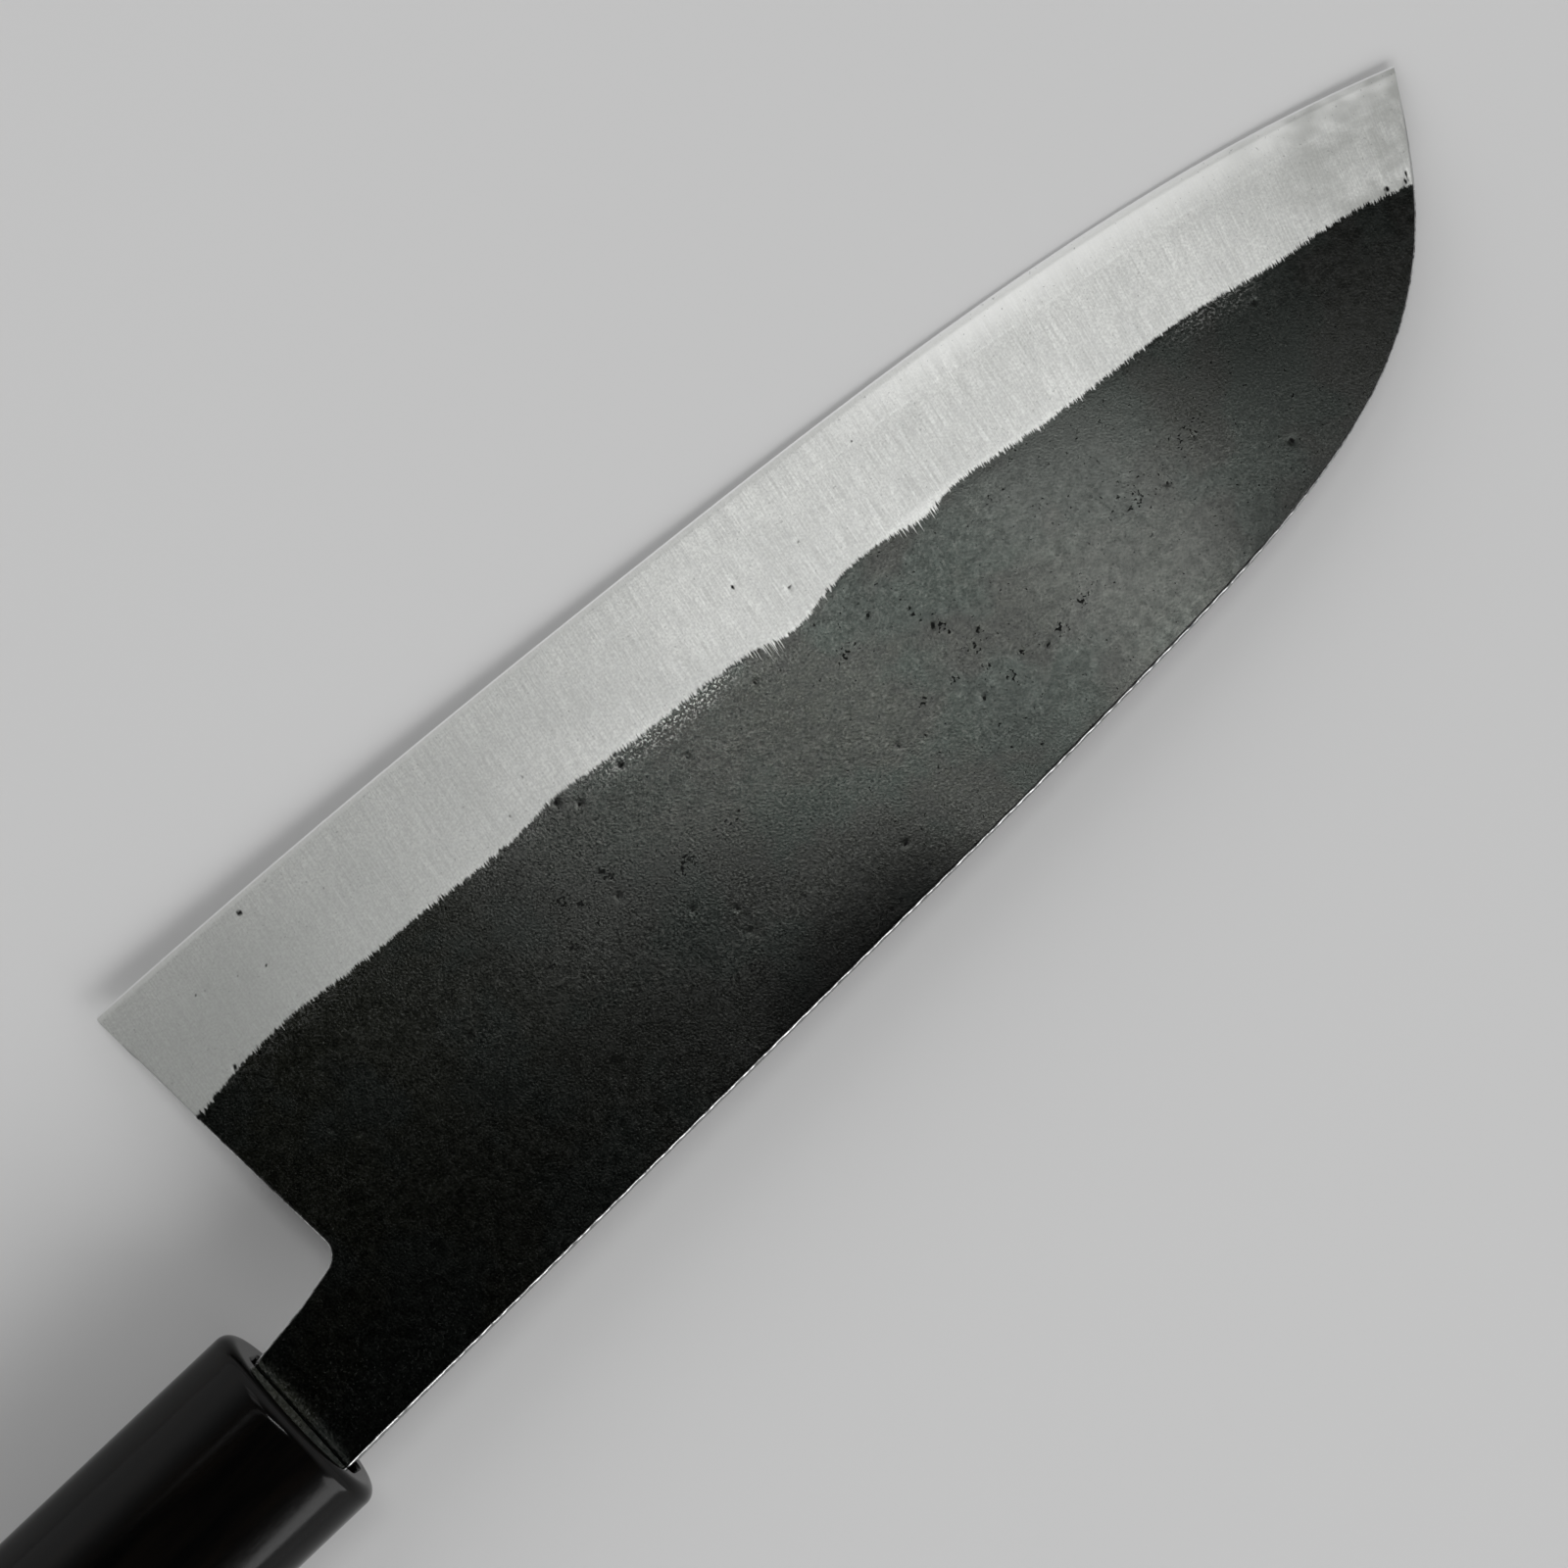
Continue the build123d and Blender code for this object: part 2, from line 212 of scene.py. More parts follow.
def arc_at(corner, before, after, radius, count):
    """Points of the arc that rounds a corner, from the side of before to the side of after."""
    corner, before, after = (np.array(p, float) for p in (corner, before, after))
    a, b = before - corner, after - corner
    a, b = a / np.linalg.norm(a), b / np.linalg.norm(b)
    half = math.acos(np.clip(a @ b, -1, 1)) / 2
    middle = (a + b) / np.linalg.norm(a + b)
    centre = corner + middle * radius / math.sin(half)
    start, end = corner + a * radius / math.tan(half) - centre, corner + b * radius / math.tan(half) - centre
    turn = math.acos(np.clip(start @ end / radius**2, -1, 1))
    k = np.linspace(0, 1, count)[:, None]
    return centre + (np.sin((1 - k) * turn) * start + np.sin(k * turn) * end) / math.sin(turn)


# ---- Blade: curves ----
edge = smooth_curve(EDGE_POINTS)
edge_length = lengths(edge)
EDGE_TOTAL = edge_length[-1]
edge_dir = np.gradient(edge, edge_length, axis=0)
edge_dir /= np.linalg.norm(edge_dir, axis=1)[:, None]
spine_dir = np.array(SPINE_BREAK, float) - SPINE_ROOT
spine_drop = smooth_curve(SPINE_DROP, start=spine_dir, end=SPINE_SLOPE_AT_TIP)
spine = np.concatenate([np.linspace(SPINE_ROOT, SPINE_BREAK, 400)[:-1], spine_drop])
ARC_HALF = 40  # steps of the neck's arc to either side of its middle, where the neck and the heel meet
neck_arc = arc_at(NECK_CORNER, NECK_BEND, HEEL_CORNER, NECK_RADIUS, 2 * ARC_HALF + 1)
neck_middle = neck_arc[ARC_HALF]
neck_line = np.concatenate([np.linspace(NECK_ROOT, NECK_BEND, 40), neck_arc[: ARC_HALF + 1]])
heel_arc = arc_at(HEEL_CORNER, NECK_CORNER, tuple(edge[40]), HEEL_RADIUS, 21)
heel_line = np.concatenate([neck_arc[ARC_HALF:], np.linspace(neck_arc[-1], heel_arc[0], 400)[1:]])
border = smooth_curve(BORDER, samples=3000)
width_curve = smooth_curve(BEVEL_WIDTHS, samples=3000)


def spine_y(x):
    return np.interp(x, spine[:, 0], spine[:, 1])


def edge_y(x):
    return np.interp(x, edge[:, 0], edge[:, 1])


def at_edge(s, values):
    """Both columns of the edge samples' values, at distances along the edge."""
    return [np.interp(s, edge_length, values[:, k]) for k in (0, 1)]


def from_edge(x, y):
    """Distance along the cutting edge from the heel, and square to it, of points of the blade."""
    s = np.interp(x, edge[:, 0], edge_length)
    for _ in range(4):
        (ex, ey), (tx, ty) = at_edge(s, edge), at_edge(s, edge_dir)
        over = np.clip(s, 0, EDGE_TOTAL) - s
        s = s + (x - ex + over * tx) * tx + (y - ey + over * ty) * ty
    ex, ey = at_edge(np.clip(s, 0, EDGE_TOTAL), edge)
    return s, (x - ex) * ty - (y - ey) * tx


def cheek_height(x, y):
    return CHEEK_HALF - CHEEK_TAPER_X * x - CHEEK_TAPER_Y * y


def core_height(x):
    return CORE_HALF - CORE_TAPER_X * x


def outer_height(x, y):
    """Height of the blade's left face above its centre plane, before any relief."""
    s, d = from_edge(x, y)
    inside = np.clip(s, 0, EDGE_TOTAL)
    w = np.interp(s, width_curve[:, 0], width_curve[:, 1])
    (ex, ey), (tx, ty) = at_edge(inside, edge), at_edge(inside, edge_dir)
    shoulder = cheek_height(ex + ty * w, ey - tx * w)
    wide = MICRO_TOP + (shoulder - MICRO_TOP) * (d - MICRO_WIDTH) / (w - MICRO_WIDTH)
    micro = EDGE_HALF + (MICRO_TOP - EDGE_HALF) * d / MICRO_WIDTH
    height = np.minimum(cheek_height(x, y), np.where(d < MICRO_WIDTH, micro, wide))
    seat = np.minimum(height, SEAT_HALF)
    return seat + (height - seat) * smoothstep(x, *SEAT_STEP_X)


def above_border(x, y):
    """Distance from the scale's lower border, positive on the scale."""
    by = np.interp(x, border[:, 0], border[:, 1])
    slope = np.interp(x, border[:, 0], np.gradient(border[:, 1], border[:, 0]))
    return (by - y) / np.sqrt(1 + slope**2)


# ---- Blade: relief of the forged and ground surface ----
STREWN_PITS = {True: 14, False: 60}  # on the side with listed pits and on the other one
STREWN_ZONES = 18


def pit_list(seed, listed):
    """Pits as x, y, radius, how long they are drawn out, and their turn."""
    rng = np.random.default_rng(seed)
    listed_pits = (*BEVEL_MARKS, *PITS) if listed else ()
    pits = [(x, y, r, rng.uniform(1, 1.7), rng.uniform(0, np.pi)) for x, y, r in listed_pits]
    for _ in range(STREWN_PITS[listed]):
        x, y = rng.uniform(0, 165), rng.uniform(-6.5, 27)
        pits.append((x, y, rng.uniform(0.15, 0.24), rng.uniform(1, 1.8), rng.uniform(0, np.pi)))
    return pits


def pitted_zones(x, y, seed, listed):
    """How thick the fine pits stand, from 0 to 1."""
    rng = np.random.default_rng(seed + 50)
    ranges = ((5, 150), (-3, 20), (1, 5), (0.6, 2.5))  # of a strewn zone: centre x, y, half width x, y
    zones = PITTED if listed else [[rng.uniform(*ends) for ends in ranges] for _ in range(STREWN_ZONES)]
    thick = np.zeros_like(x)
    for zx, zy, sx, sy in zones:
        share = 0.55 if sx > 2 else 1.0  # the wide zones are thinly pitted
        thick = np.maximum(thick, share * np.exp(-(((x - zx) / sx) ** 2) - ((y - zy) / sy) ** 2))
    return thick * smoothstep(above_border(x, y), 0.2, 1.0)


# Layers of the relief: height, size along X and along Y, and what the seed grows by.
FORGED_FORM = ((0.024, 22, 15, 1), (0.007, 8, 6.5, 2))
GROUND_FORM = ((0.0035, 17, 9, 3), (0.0008, 4.0, 6, 4))
RIPPLE = ((0.003, 5.0, 0.62, 5),)
GRAIN = ((0.0016, 1.1, 0.9, 6),)
LEDGE_HEIGHT, PIT_DEPTH = 0.012, 0.05


def layered(x, y, seed, layers):
    return sum(height * noise(x / long, y / wide, seed + step) for height, long, wide, step in layers)


def relief(x, y, seed, listed):
    """Height that the surface stands above or below its smooth form, and how deep in a pit a point is."""
    above = above_border(x, y)
    scale = smoothstep(above, -0.2, 1.5)
    deep = smoothstep(above, 0.0, 0.6)
    depth = y - spine_y(x)
    rough = 0.35 + 0.65 * smoothstep(noise(x / 19, y / 13, seed + 9), -0.3, 0.4)
    # A faint ledge runs on from the neck, and fine ripples lie near the spine in the middle of the blade.
    ledge = LEDGE_HEIGHT * smoothstep(y, 7.8, 9.4) * (1 - smoothstep(x, 34, 50))
    rippled = (1 - smoothstep(depth, 4.0, 9.0)) * smoothstep(x, 55, 68) * (1 - smoothstep(x, 90, 105))
    forged = layered(x, y, seed, FORGED_FORM) + ledge
    forged = forged + layered(x, y, seed, RIPPLE) * rippled + rough * layered(x, y, seed, GRAIN)
    height = scale * forged + (1 - scale) * layered(x, y, seed, GROUND_FORM)
    pit = np.zeros_like(x)
    for px, py, r, stretch, turn in pit_list(seed, listed):
        near = (np.abs(x - px) < 3 * r * stretch) & (np.abs(y - py) < 3 * r * stretch)
        if not near.any():
            continue
        dx, dy = x[near] - px, y[near] - py
        u, v = dx * math.cos(turn) + dy * math.sin(turn), dy * math.cos(turn) - dx * math.sin(turn)
        ragged = 1 + 0.35 * noise(x[near] / (0.8 * r) + px, y[near] / (0.8 * r) + py, seed + 8)
        rr = np.sqrt((u / stretch) ** 2 + v**2) / (r * ragged)
        share = 1.0 if (px, py, r) in BEVEL_MARKS else deep[near]
        pit[near] = np.maximum(pit[near], np.exp(-(rr**2)) * min(1.0, r / 0.2) * share)
    return height - PIT_DEPTH * pit, pit


# ---- Meshes ----
def new_object(name, data):
    made = bpy.data.objects.new(name, data)
    bpy.context.scene.collection.objects.link(made)
    return made


CREASE = math.radians(35)


def knife_mesh(name, points, faces, attributes=()):
    """An object from points in the knife's axes, with smooth shading up to the crease angle."""
    mesh = bpy.data.meshes.new(name)
    mesh.from_pydata(to_row(points).tolist(), [], faces)
    for label, values in (("knife", points), *attributes):
        kind, key = ("FLOAT_VECTOR", "vector") if values.ndim == 2 else ("FLOAT", "value")
        field = mesh.attributes.new(label, kind, "POINT")
        field.data.foreach_set(key, values.astype(np.float32).ravel())
    solid = bmesh.new()
    solid.from_mesh(mesh)
    bmesh.ops.delete(solid, geom=[v for v in solid.verts if not v.link_faces], context="VERTS")
    bmesh.ops.recalc_face_normals(solid, faces=solid.faces)
    for face in solid.faces:
        face.smooth = True
    solid.to_mesh(mesh)
    solid.free()
    mesh.set_sharp_from_angle(angle=CREASE)
    piece = new_object(name, mesh)
    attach(piece, "root")
    return piece


def grid_faces(ids):
    """Quads between neighbouring ids of a grid, as triangles where two corners are the same."""
    faces = []
    for row, following in zip(ids[:-1].tolist(), ids[1:].tolist()):
        for k in range(len(row) - 1):
            corners = (row[k], following[k], following[k + 1], row[k + 1])
            distinct = tuple(c for n, c in enumerate(corners) if c != corners[n - 1])
            if len(distinct) > 2:
                faces.append(distinct)
    return faces


# ---- Blade: plan grid shared by the layers ----
ROW_STEP, COLUMN_STEP, NECK_STEP = 0.3, 0.31, 0.36
TIP_COLUMNS, STRIP_ROWS = 12, 12
HEEL_EASE, STRIP_EASE = 14.0, 3.0  # how far the columns go over from the heel's line to straight ones
ARRIS_ROWS = np.array([0.0, 0.05, 0.12, 0.21, 0.34])  # finer rows where an outer edge is rounded over
SPINE_ARRIS, NECK_ARRIS = 0.24, 0.16  # radii of the worn arrises


REACH = TIP[0] - neck_middle[0]


def column_ends(u):
    """Top and bottom of the columns of the plan grid, at the spine and at the edge."""
    tx = neck_middle[0] + REACH * u
    ex = heel_arc[-1][0] + (TIP[0] - heel_arc[-1][0]) * u
    return np.stack([tx, spine_y(tx)], -1), np.stack([ex, edge_y(ex)], -1)


def above_core(p):
    return outer_height(p[:, 0], p[:, 1]) - core_height(p[:, 0])


# The share of the columns' length at which the layers' joint runs out into the spine.
MEET = float(bisect(np.array([0.9]), np.array([1.0]), lambda u: above_core(column_ends(u)[0]) > 0)[0])

first_columns = np.append(ARRIS_ROWS, 0.55) / REACH
count = int((MEET - first_columns[-1]) * REACH / COLUMN_STEP)
U = np.concatenate([first_columns, np.linspace(first_columns[-1], MEET, count + 1)[1:]])
U_TIP = np.concatenate([U, np.linspace(MEET, 1.0, TIP_COLUMNS + 1)[1:]])
top, bottom = column_ends(U)
joint_share = bisect(np.zeros(len(U)), np.ones(len(U)),
                     lambda k: above_core(top + (bottom - top) * k[:, None]) > 0)
joint = top + (bottom - top) * joint_share[:, None]  # where the core comes out from under the cladding
joint[-1] = top[-1]

neck_span = neck_middle[1] - spine_y(neck_middle[0])
plain = int((neck_span - 2 * ARRIS_ROWS[-1]) / ROW_STEP)


def neck_rows(span):
    """Distances of the neck's rows below the spine, for a neck that deep."""
    inner = np.linspace(ARRIS_ROWS[-1], span - ARRIS_ROWS[-1], plain + 1)[1:-1]
    return np.concatenate([ARRIS_ROWS, inner, span - ARRIS_ROWS[::-1]])


NECK_ROWS = len(neck_rows(neck_span)) - 1
heel_joint_at = lengths(heel_line)[np.argmax(above_core(heel_line) < 0)]
below = int(heel_joint_at / ROW_STEP)


def neck_column(x, bottom_y):
    """Points of the neck's column at x, from the spine down to bottom_y."""
    return np.stack([np.full(NECK_ROWS + 1, x), spine_y(x) + neck_rows(bottom_y - spine_y(x))], -1)


heel_column = along(heel_line, np.linspace(0, heel_joint_at, below + 1)[1:])
left_rows = np.concatenate([neck_column(*neck_middle), heel_column])
left_rows[NECK_ROWS] = neck_middle
ROWS = len(left_rows) - 1
column = np.linalg.norm(joint - top, axis=1)[:, None]
arris = ARRIS_ROWS[None, :] * np.minimum(1, column / 4)
rest = np.linspace(0, 1, ROWS + 1 - len(ARRIS_ROWS) + 1)[1:][None, :]
spacing = np.concatenate([arris, arris[:, -1:] + (column - arris[:, -1:]) * rest], 1)
spacing /= np.maximum(column, 1e-9)
blade_plan = top[:, None] + (joint - top)[:, None] * spacing[:, :, None]
ease = 1 - smoothstep(U * REACH, 0.0, HEEL_EASE)
blade_plan += ease[:, None, None] * (left_rows - blade_plan[0])[None]

neck_columns = int((neck_middle[0] - SHOULDER_X) / NECK_STEP)
neck_x = np.linspace(SHOULDER_X, neck_middle[0], neck_columns + 1)
neck_bottom = np.interp(neck_x, neck_line[:, 0], neck_line[:, 1])
neck_plan = np.stack([neck_column(x, bottom_y) for x, bottom_y in zip(neck_x, neck_bottom)])
tang_sides = (-TANG_ROOT_WIDTH / 2, TANG_ROOT_WIDTH / 2)
tang_rows = [int(np.argmin(np.abs(neck_plan[0, :, 1] - y))) for y in tang_sides]
neck_plan[0, tang_rows, 1] = tang_sides

# The strip of bare core, from the joint to the edge, and on round the tip.
tip_top, tip_bottom = column_ends(U_TIP)
strip_top = np.concatenate([blade_plan[:, -1], tip_top[len(U) :]])
strip_depth = np.maximum(from_edge(strip_top[:, 0], strip_top[:, 1])[1], MICRO_WIDTH * 1.02)
crease = (1 - MICRO_WIDTH / strip_depth)[:, None]
k = np.linspace(0, 1, STRIP_ROWS + 1)[None, :]
strip_rows = np.concatenate([crease * k, crease + (1 - crease) * np.array([[0.34, 0.67, 1.0]])], 1)
strip_plan = strip_top[:, None] + (tip_bottom - strip_top)[:, None] * strip_rows[:, :, None]
heel_end = np.concatenate([[left_rows[-1]], heel_line[lengths(heel_line) > heel_joint_at], heel_arc[1:]])
heel_rows = along(heel_end, strip_rows[0] * lengths(heel_end)[-1])
ease = 1 - smoothstep(U_TIP * REACH, 0.0, STRIP_EASE)
strip_plan += ease[:, None, None] * (heel_rows - strip_plan[0])[None]
strip_plan[-1] = TIP
KEEP_NECK = sorted({0, NECK_ROWS, *tang_rows, *range(4, NECK_ROWS, 9)})
KEEP_ROWS = sorted({*KEEP_NECK, ROWS, *range(NECK_ROWS, NECK_ROWS + 8), *range(NECK_ROWS + 8, ROWS, 12)})


def outline_distance(p, line, reach):
    """Distance of plan points from a line, up to reach."""
    distance = np.full(len(p), float(reach))
    line = along(line, np.arange(0, lengths(line)[-1], 0.1))
    for part in np.array_split(np.arange(len(p)), max(1, len(p) // 1500)):
        low_corner, high_corner = p[part].min(0) - reach, p[part].max(0) + reach
        close = line[((line >= low_corner) & (line <= high_corner)).all(1)]
        if len(close):
            d = np.sqrt(((p[part][:, None] - close[None]) ** 2).sum(-1)).min(1)
            distance[part] = np.minimum(d, reach)
    return distance


RIM_REACH = 1.2
outer_lines = ((spine, SPINE_ARRIS), (np.concatenate([neck_line, heel_line]), NECK_ARRIS))


def tang_corners(*rows):
    """Corners of the tang, each row at x, half_y and z giving the one at -half_y and the one at half_y."""
    return np.array([(x, side * half_y, z) for x, half_y, z in rows for side in (-1, 1)])


def surface_fields(x, y):
    """Attributes of the blade's surface: distance along and from the edge, and above the scale's border."""
    s, d = from_edge(x, y)
    return np.stack([s, d, above_border(x, y)], -1)


def worn_face(plan, seed, listed):
    """Height of a cladding's outer face, how deep in a pit its points are, and how far from its outline."""
    x, y = plan[:, 0], plan[:, 1]
    base = outer_height(x, y)
    lift, pit = relief(x, y, seed, listed)
    edge_room = base - core_height(x)
    fade = smoothstep(y - spine_y(x), 0.0, 0.5) * smoothstep(x, 1.0, 3.0) * np.clip(edge_room / 0.25, 0, 1)
    drop, rim_distance = np.zeros(len(plan)), np.full(len(plan), RIM_REACH)
    for line, radius in outer_lines:
        d = outline_distance(plan, line, RIM_REACH)
        r = np.maximum(np.minimum(radius, 0.6 * edge_room), 1e-3)
        k = np.clip(1 - d / r, 0, 1)
        drop = np.maximum(drop, r * (1 - np.sqrt(1 - k * k)))
        rim_distance = np.minimum(rim_distance, d)
    return base + lift * fade - np.where(edge_room > 0.02, drop, 0), pit, rim_distance


def wall_faces(rim, lower, open_wall):
    """Faces between the rim of a surface and the same points lower down, except at the open wall."""
    faces = []
    for a, b in zip(rim, [*rim[1:], rim[0]]):
        quad = [b, a, lower[a], lower[b]]
        quad = [q for n, q in enumerate(quad) if q != quad[n - 1]]
        if len(quad) > 2 and not (a in open_wall and b in open_wall):
            faces.append(quad)
    return faces


def cladding(name, side, seed, listed):
    """One iron layer: side is 1 for the left and -1 for the right."""
    blade_ids = np.arange(len(U) * (ROWS + 1)).reshape(len(U), ROWS + 1)
    blade_ids[-1] = blade_ids[-1, 0]
    start = len(U) * (ROWS + 1)
    neck_ids = start + np.arange(neck_columns * (NECK_ROWS + 1)).reshape(neck_columns, NECK_ROWS + 1)
    neck_ids = np.concatenate([neck_ids, blade_ids[:1, : NECK_ROWS + 1]])
    plan = np.concatenate([blade_plan.reshape(-1, 2), neck_plan[:-1].reshape(-1, 2)])
    x, y = plan[:, 0], plan[:, 1]
    height, pit, rim_distance = worn_face(plan, seed, listed)
    top_points = np.column_stack([x, y, height])
    rim = [*neck_ids[:-1, 0], *blade_ids[:-1, 0], blade_ids[-1, 0], *blade_ids[-2::-1, -1],
           *blade_ids[0, -2:NECK_ROWS:-1], *neck_ids[::-1, NECK_ROWS], *neck_ids[0, NECK_ROWS - 1 : 0 : -1]]
    rim = [int(v) for v in rim]
    lower, lower_points = {int(v): int(v) for v in blade_ids[:, -1]}, []
    for v in rim:
        if v not in lower:
            lower[v] = len(top_points) + len(lower_points)
            lower_points.append((x[v], y[v], core_height(x[v])))
    faces = grid_faces(blade_ids) + grid_faces(neck_ids)
    faces += wall_faces(rim, lower, set(neck_ids[0].tolist()))
    faces.append([lower[v] for v in rim])
    # The tang, lofted from a rectangle in the neck's end wall.
    points = np.concatenate([top_points, np.array(lower_points)])
    a, b, c, d, e, f = (len(points) + n for n in range(6))
    end = TANG_END_WIDTH / 2
    tang = tang_corners((SHOULDER_X, TANG_ROOT_WIDTH / 2, TANG_ROOT_HALF),
                        (TANG_END_X, end, TANG_END_CORE_HALF), (TANG_END_X, end, TANG_END_HALF))
    points = np.concatenate([points, tang])
    j1, j2 = tang_rows
    wall_low = [lower[v] for v in neck_ids[0]]
    faces.append([*wall_low[: j1 + 1], a, b, *wall_low[j2:], *neck_ids[0][::-1].tolist()])
    faces.append([*wall_low[j1 : j2 + 1], d, c])
    faces += [[a, wall_low[j1], c, e], [wall_low[j2], b, f, d], [b, a, e, f], [c, d, f, e]]
    more = (0, len(points) - len(plan))
    pits, zones = (np.pad(values, more) for values in (pit, pitted_zones(x, y, seed, listed)))
    rims = np.pad(rim_distance, more, constant_values=RIM_REACH)
    fields = surface_fields(points[:, 0], points[:, 1])
    points[:, 2] *= side
    attributes = (("grind", fields), ("pit", pits), ("pitted", zones), ("rim", rims))
    return knife_mesh(name, points, faces, attributes)


def core_layer(name):
    """The hard middle layer, with the bare strip along the edge and the tang's middle."""
    hidden, neck = blade_plan[:, KEEP_ROWS], neck_plan[:-1][:, KEEP_NECK]
    sizes = [g.shape[0] * g.shape[1] for g in (hidden, strip_plan, neck)]
    hidden_ids = np.arange(sizes[0]).reshape(hidden.shape[:2])
    hidden_ids[-1] = hidden_ids[-1, 0]
    strip_ids = sizes[0] + np.arange(sizes[1]).reshape(strip_plan.shape[:2])
    strip_ids[: len(U), 0] = hidden_ids[:, -1]
    strip_ids[-1] = strip_ids[-1, 0]
    neck_ids = sizes[0] + sizes[1] + np.arange(sizes[2]).reshape(neck.shape[:2])
    neck_ids = np.concatenate([neck_ids, [[hidden_ids[0, KEEP_ROWS.index(j)] for j in KEEP_NECK]]])
    plan = np.concatenate([hidden.reshape(-1, 2), strip_plan.reshape(-1, 2), neck.reshape(-1, 2)])
    x, y = plan[:, 0], plan[:, 1]
    height = core_height(x)
    on_strip = slice(sizes[0], sizes[0] + sizes[1])
    height[on_strip] = np.minimum(outer_height(x, y)[on_strip], height[on_strip])
    sides = [np.column_stack([x, y, height]), np.column_stack([x, y, -height])]
    n = len(plan)
    faces = []
    for ids in (hidden_ids, strip_ids, neck_ids):
        faces += grid_faces(ids) + grid_faces(ids + n)
    neck_row = KEEP_ROWS.index(NECK_ROWS)
    rim = [*neck_ids[:-1, 0], *hidden_ids[:-1, 0], *strip_ids[len(U) - 1 :, 0], *strip_ids[-2::-1, -1],
           *strip_ids[0, -2:0:-1], *hidden_ids[0, :neck_row:-1], *neck_ids[::-1, -1], *neck_ids[0, -2::-1]]
    j1, j2 = (KEEP_NECK.index(j) for j in tang_rows)
    rim = [int(v) for v in rim[:-1]]
    faces += wall_faces(rim, {v: v + n for v in rim}, set(neck_ids[0, j1 : j2 + 1].tolist()))
    a, b, c, d = (2 * n + k for k in range(4))
    end = TANG_END_WIDTH / 2
    tang = tang_corners((TANG_END_X, end, TANG_END_CORE_HALF), (TANG_END_X, end, -TANG_END_CORE_HALF))
    points = np.concatenate([*sides, tang])
    root = neck_ids[0, j1 : j2 + 1].tolist()
    faces += [[*root, b, a], [*[v + n for v in root], d, c], [root[0], a, c, root[0] + n],
              [root[-1], b, d, root[-1] + n], [a, b, d, c]]
    fields = surface_fields(points[:, 0], points[:, 1])
    pits, rims = np.zeros(len(points)), np.full(len(points), RIM_REACH)
    pits[on_strip] = relief(x[on_strip], y[on_strip], 100, True)[1]
    return knife_mesh(name, points, faces, (("grind", fields), ("pit", pits), ("rim", rims)))


# ---- Handle: loops round the X axis, as Y and Z ----
LOOP = 160  # points of a loop, a multiple of 8


def oval(half_y, half_z, inset=0.0):
    """An ellipse, or the line that far inside it."""
    t = np.arange(LOOP) / LOOP * 2 * np.pi
    p = np.column_stack([half_y * np.cos(t), half_z * np.sin(t)])
    normal = np.column_stack([half_z * np.cos(t), half_y * np.sin(t)])
    return p - inset * normal / np.linalg.norm(normal, axis=1)[:, None]


def oblong(half_y, half_z, radius=0.0, centre_y=0.0):
    """A rectangle with rounded corners, each at the middle of its quarter of the loop."""
    t = (np.arange(LOOP) / LOOP * 4) % 1
    quadrant = np.arange(LOOP) // (LOOP // 4)
    straight = 0.4 if radius else 0.5
    along_y = quadrant % 2
    first = np.where(along_y, half_z, half_y)
    second = np.where(along_y, half_y, half_z)
    turn = np.clip((t - straight) / max(1 - 2 * straight, 1e-9), 0, 1) * np.pi / 2
    u = np.where(t <= straight, first, first - radius + radius * np.cos(turn))
    v = np.where(t <= straight, (second - radius) * t / straight, second - radius + radius * np.sin(turn))
    u = np.where(t > 1 - straight, (first - radius) * (1 - t) / straight, u)
    v = np.where(t > 1 - straight, second, v)
    c, s = np.cos(quadrant * np.pi / 2), np.sin(quadrant * np.pi / 2)
    return np.column_stack([u * c - v * s + centre_y, u * s + v * c])


def ring(x, loop):
    return np.column_stack([np.full(LOOP, float(x)), loop])


def between(first, last, count):
    """Rings between two rings, the last one included."""
    return [first + (last - first) * k for k in np.linspace(0, 1, count + 1)[1:]]


def run_on(rings, *stops):
    """Adds straight stretches to rings, each of them to a ring and with a number of steps."""
    for last, count in stops:
        rings += between(rings[-1], last, count)


def loft(rings, closed):
    """Points and faces of a skin through rings: a closed tube, or a form with a point at each end."""
    points = np.concatenate(rings)
    ids = np.arange(len(points)).reshape(len(rings), LOOP)
    ids = np.concatenate([ids, ids[:, :1]], 1)
    if closed:
        return points, grid_faces(np.concatenate([ids, ids[:1]]))
    ends = np.array([rings[0].mean(0), rings[-1].mean(0)])
    faces = grid_faces(ids)
    for end, loop in ((len(points), ids[0]), (len(points) + 1, ids[-1])):
        faces += [[end, int(p), int(q)] for p, q in zip(loop[:-1], loop[1:])]
    return np.concatenate([points, ends]), faces


def socket(x):
    """Loop of the tang's socket at x."""
    k = (SHOULDER_X - x) / (SHOULDER_X - TANG_END_X + BEDDING)
    width = TANG_ROOT_WIDTH + (TANG_END_WIDTH - TANG_ROOT_WIDTH) * k
    half = TANG_ROOT_HALF + (TANG_END_HALF - TANG_ROOT_HALF) * k
    return oblong(width / 2 + BEDDING, half + BEDDING)


QUARTER = np.linspace(0, np.pi / 2, 11)[1:]  # the steps of a rounded rim


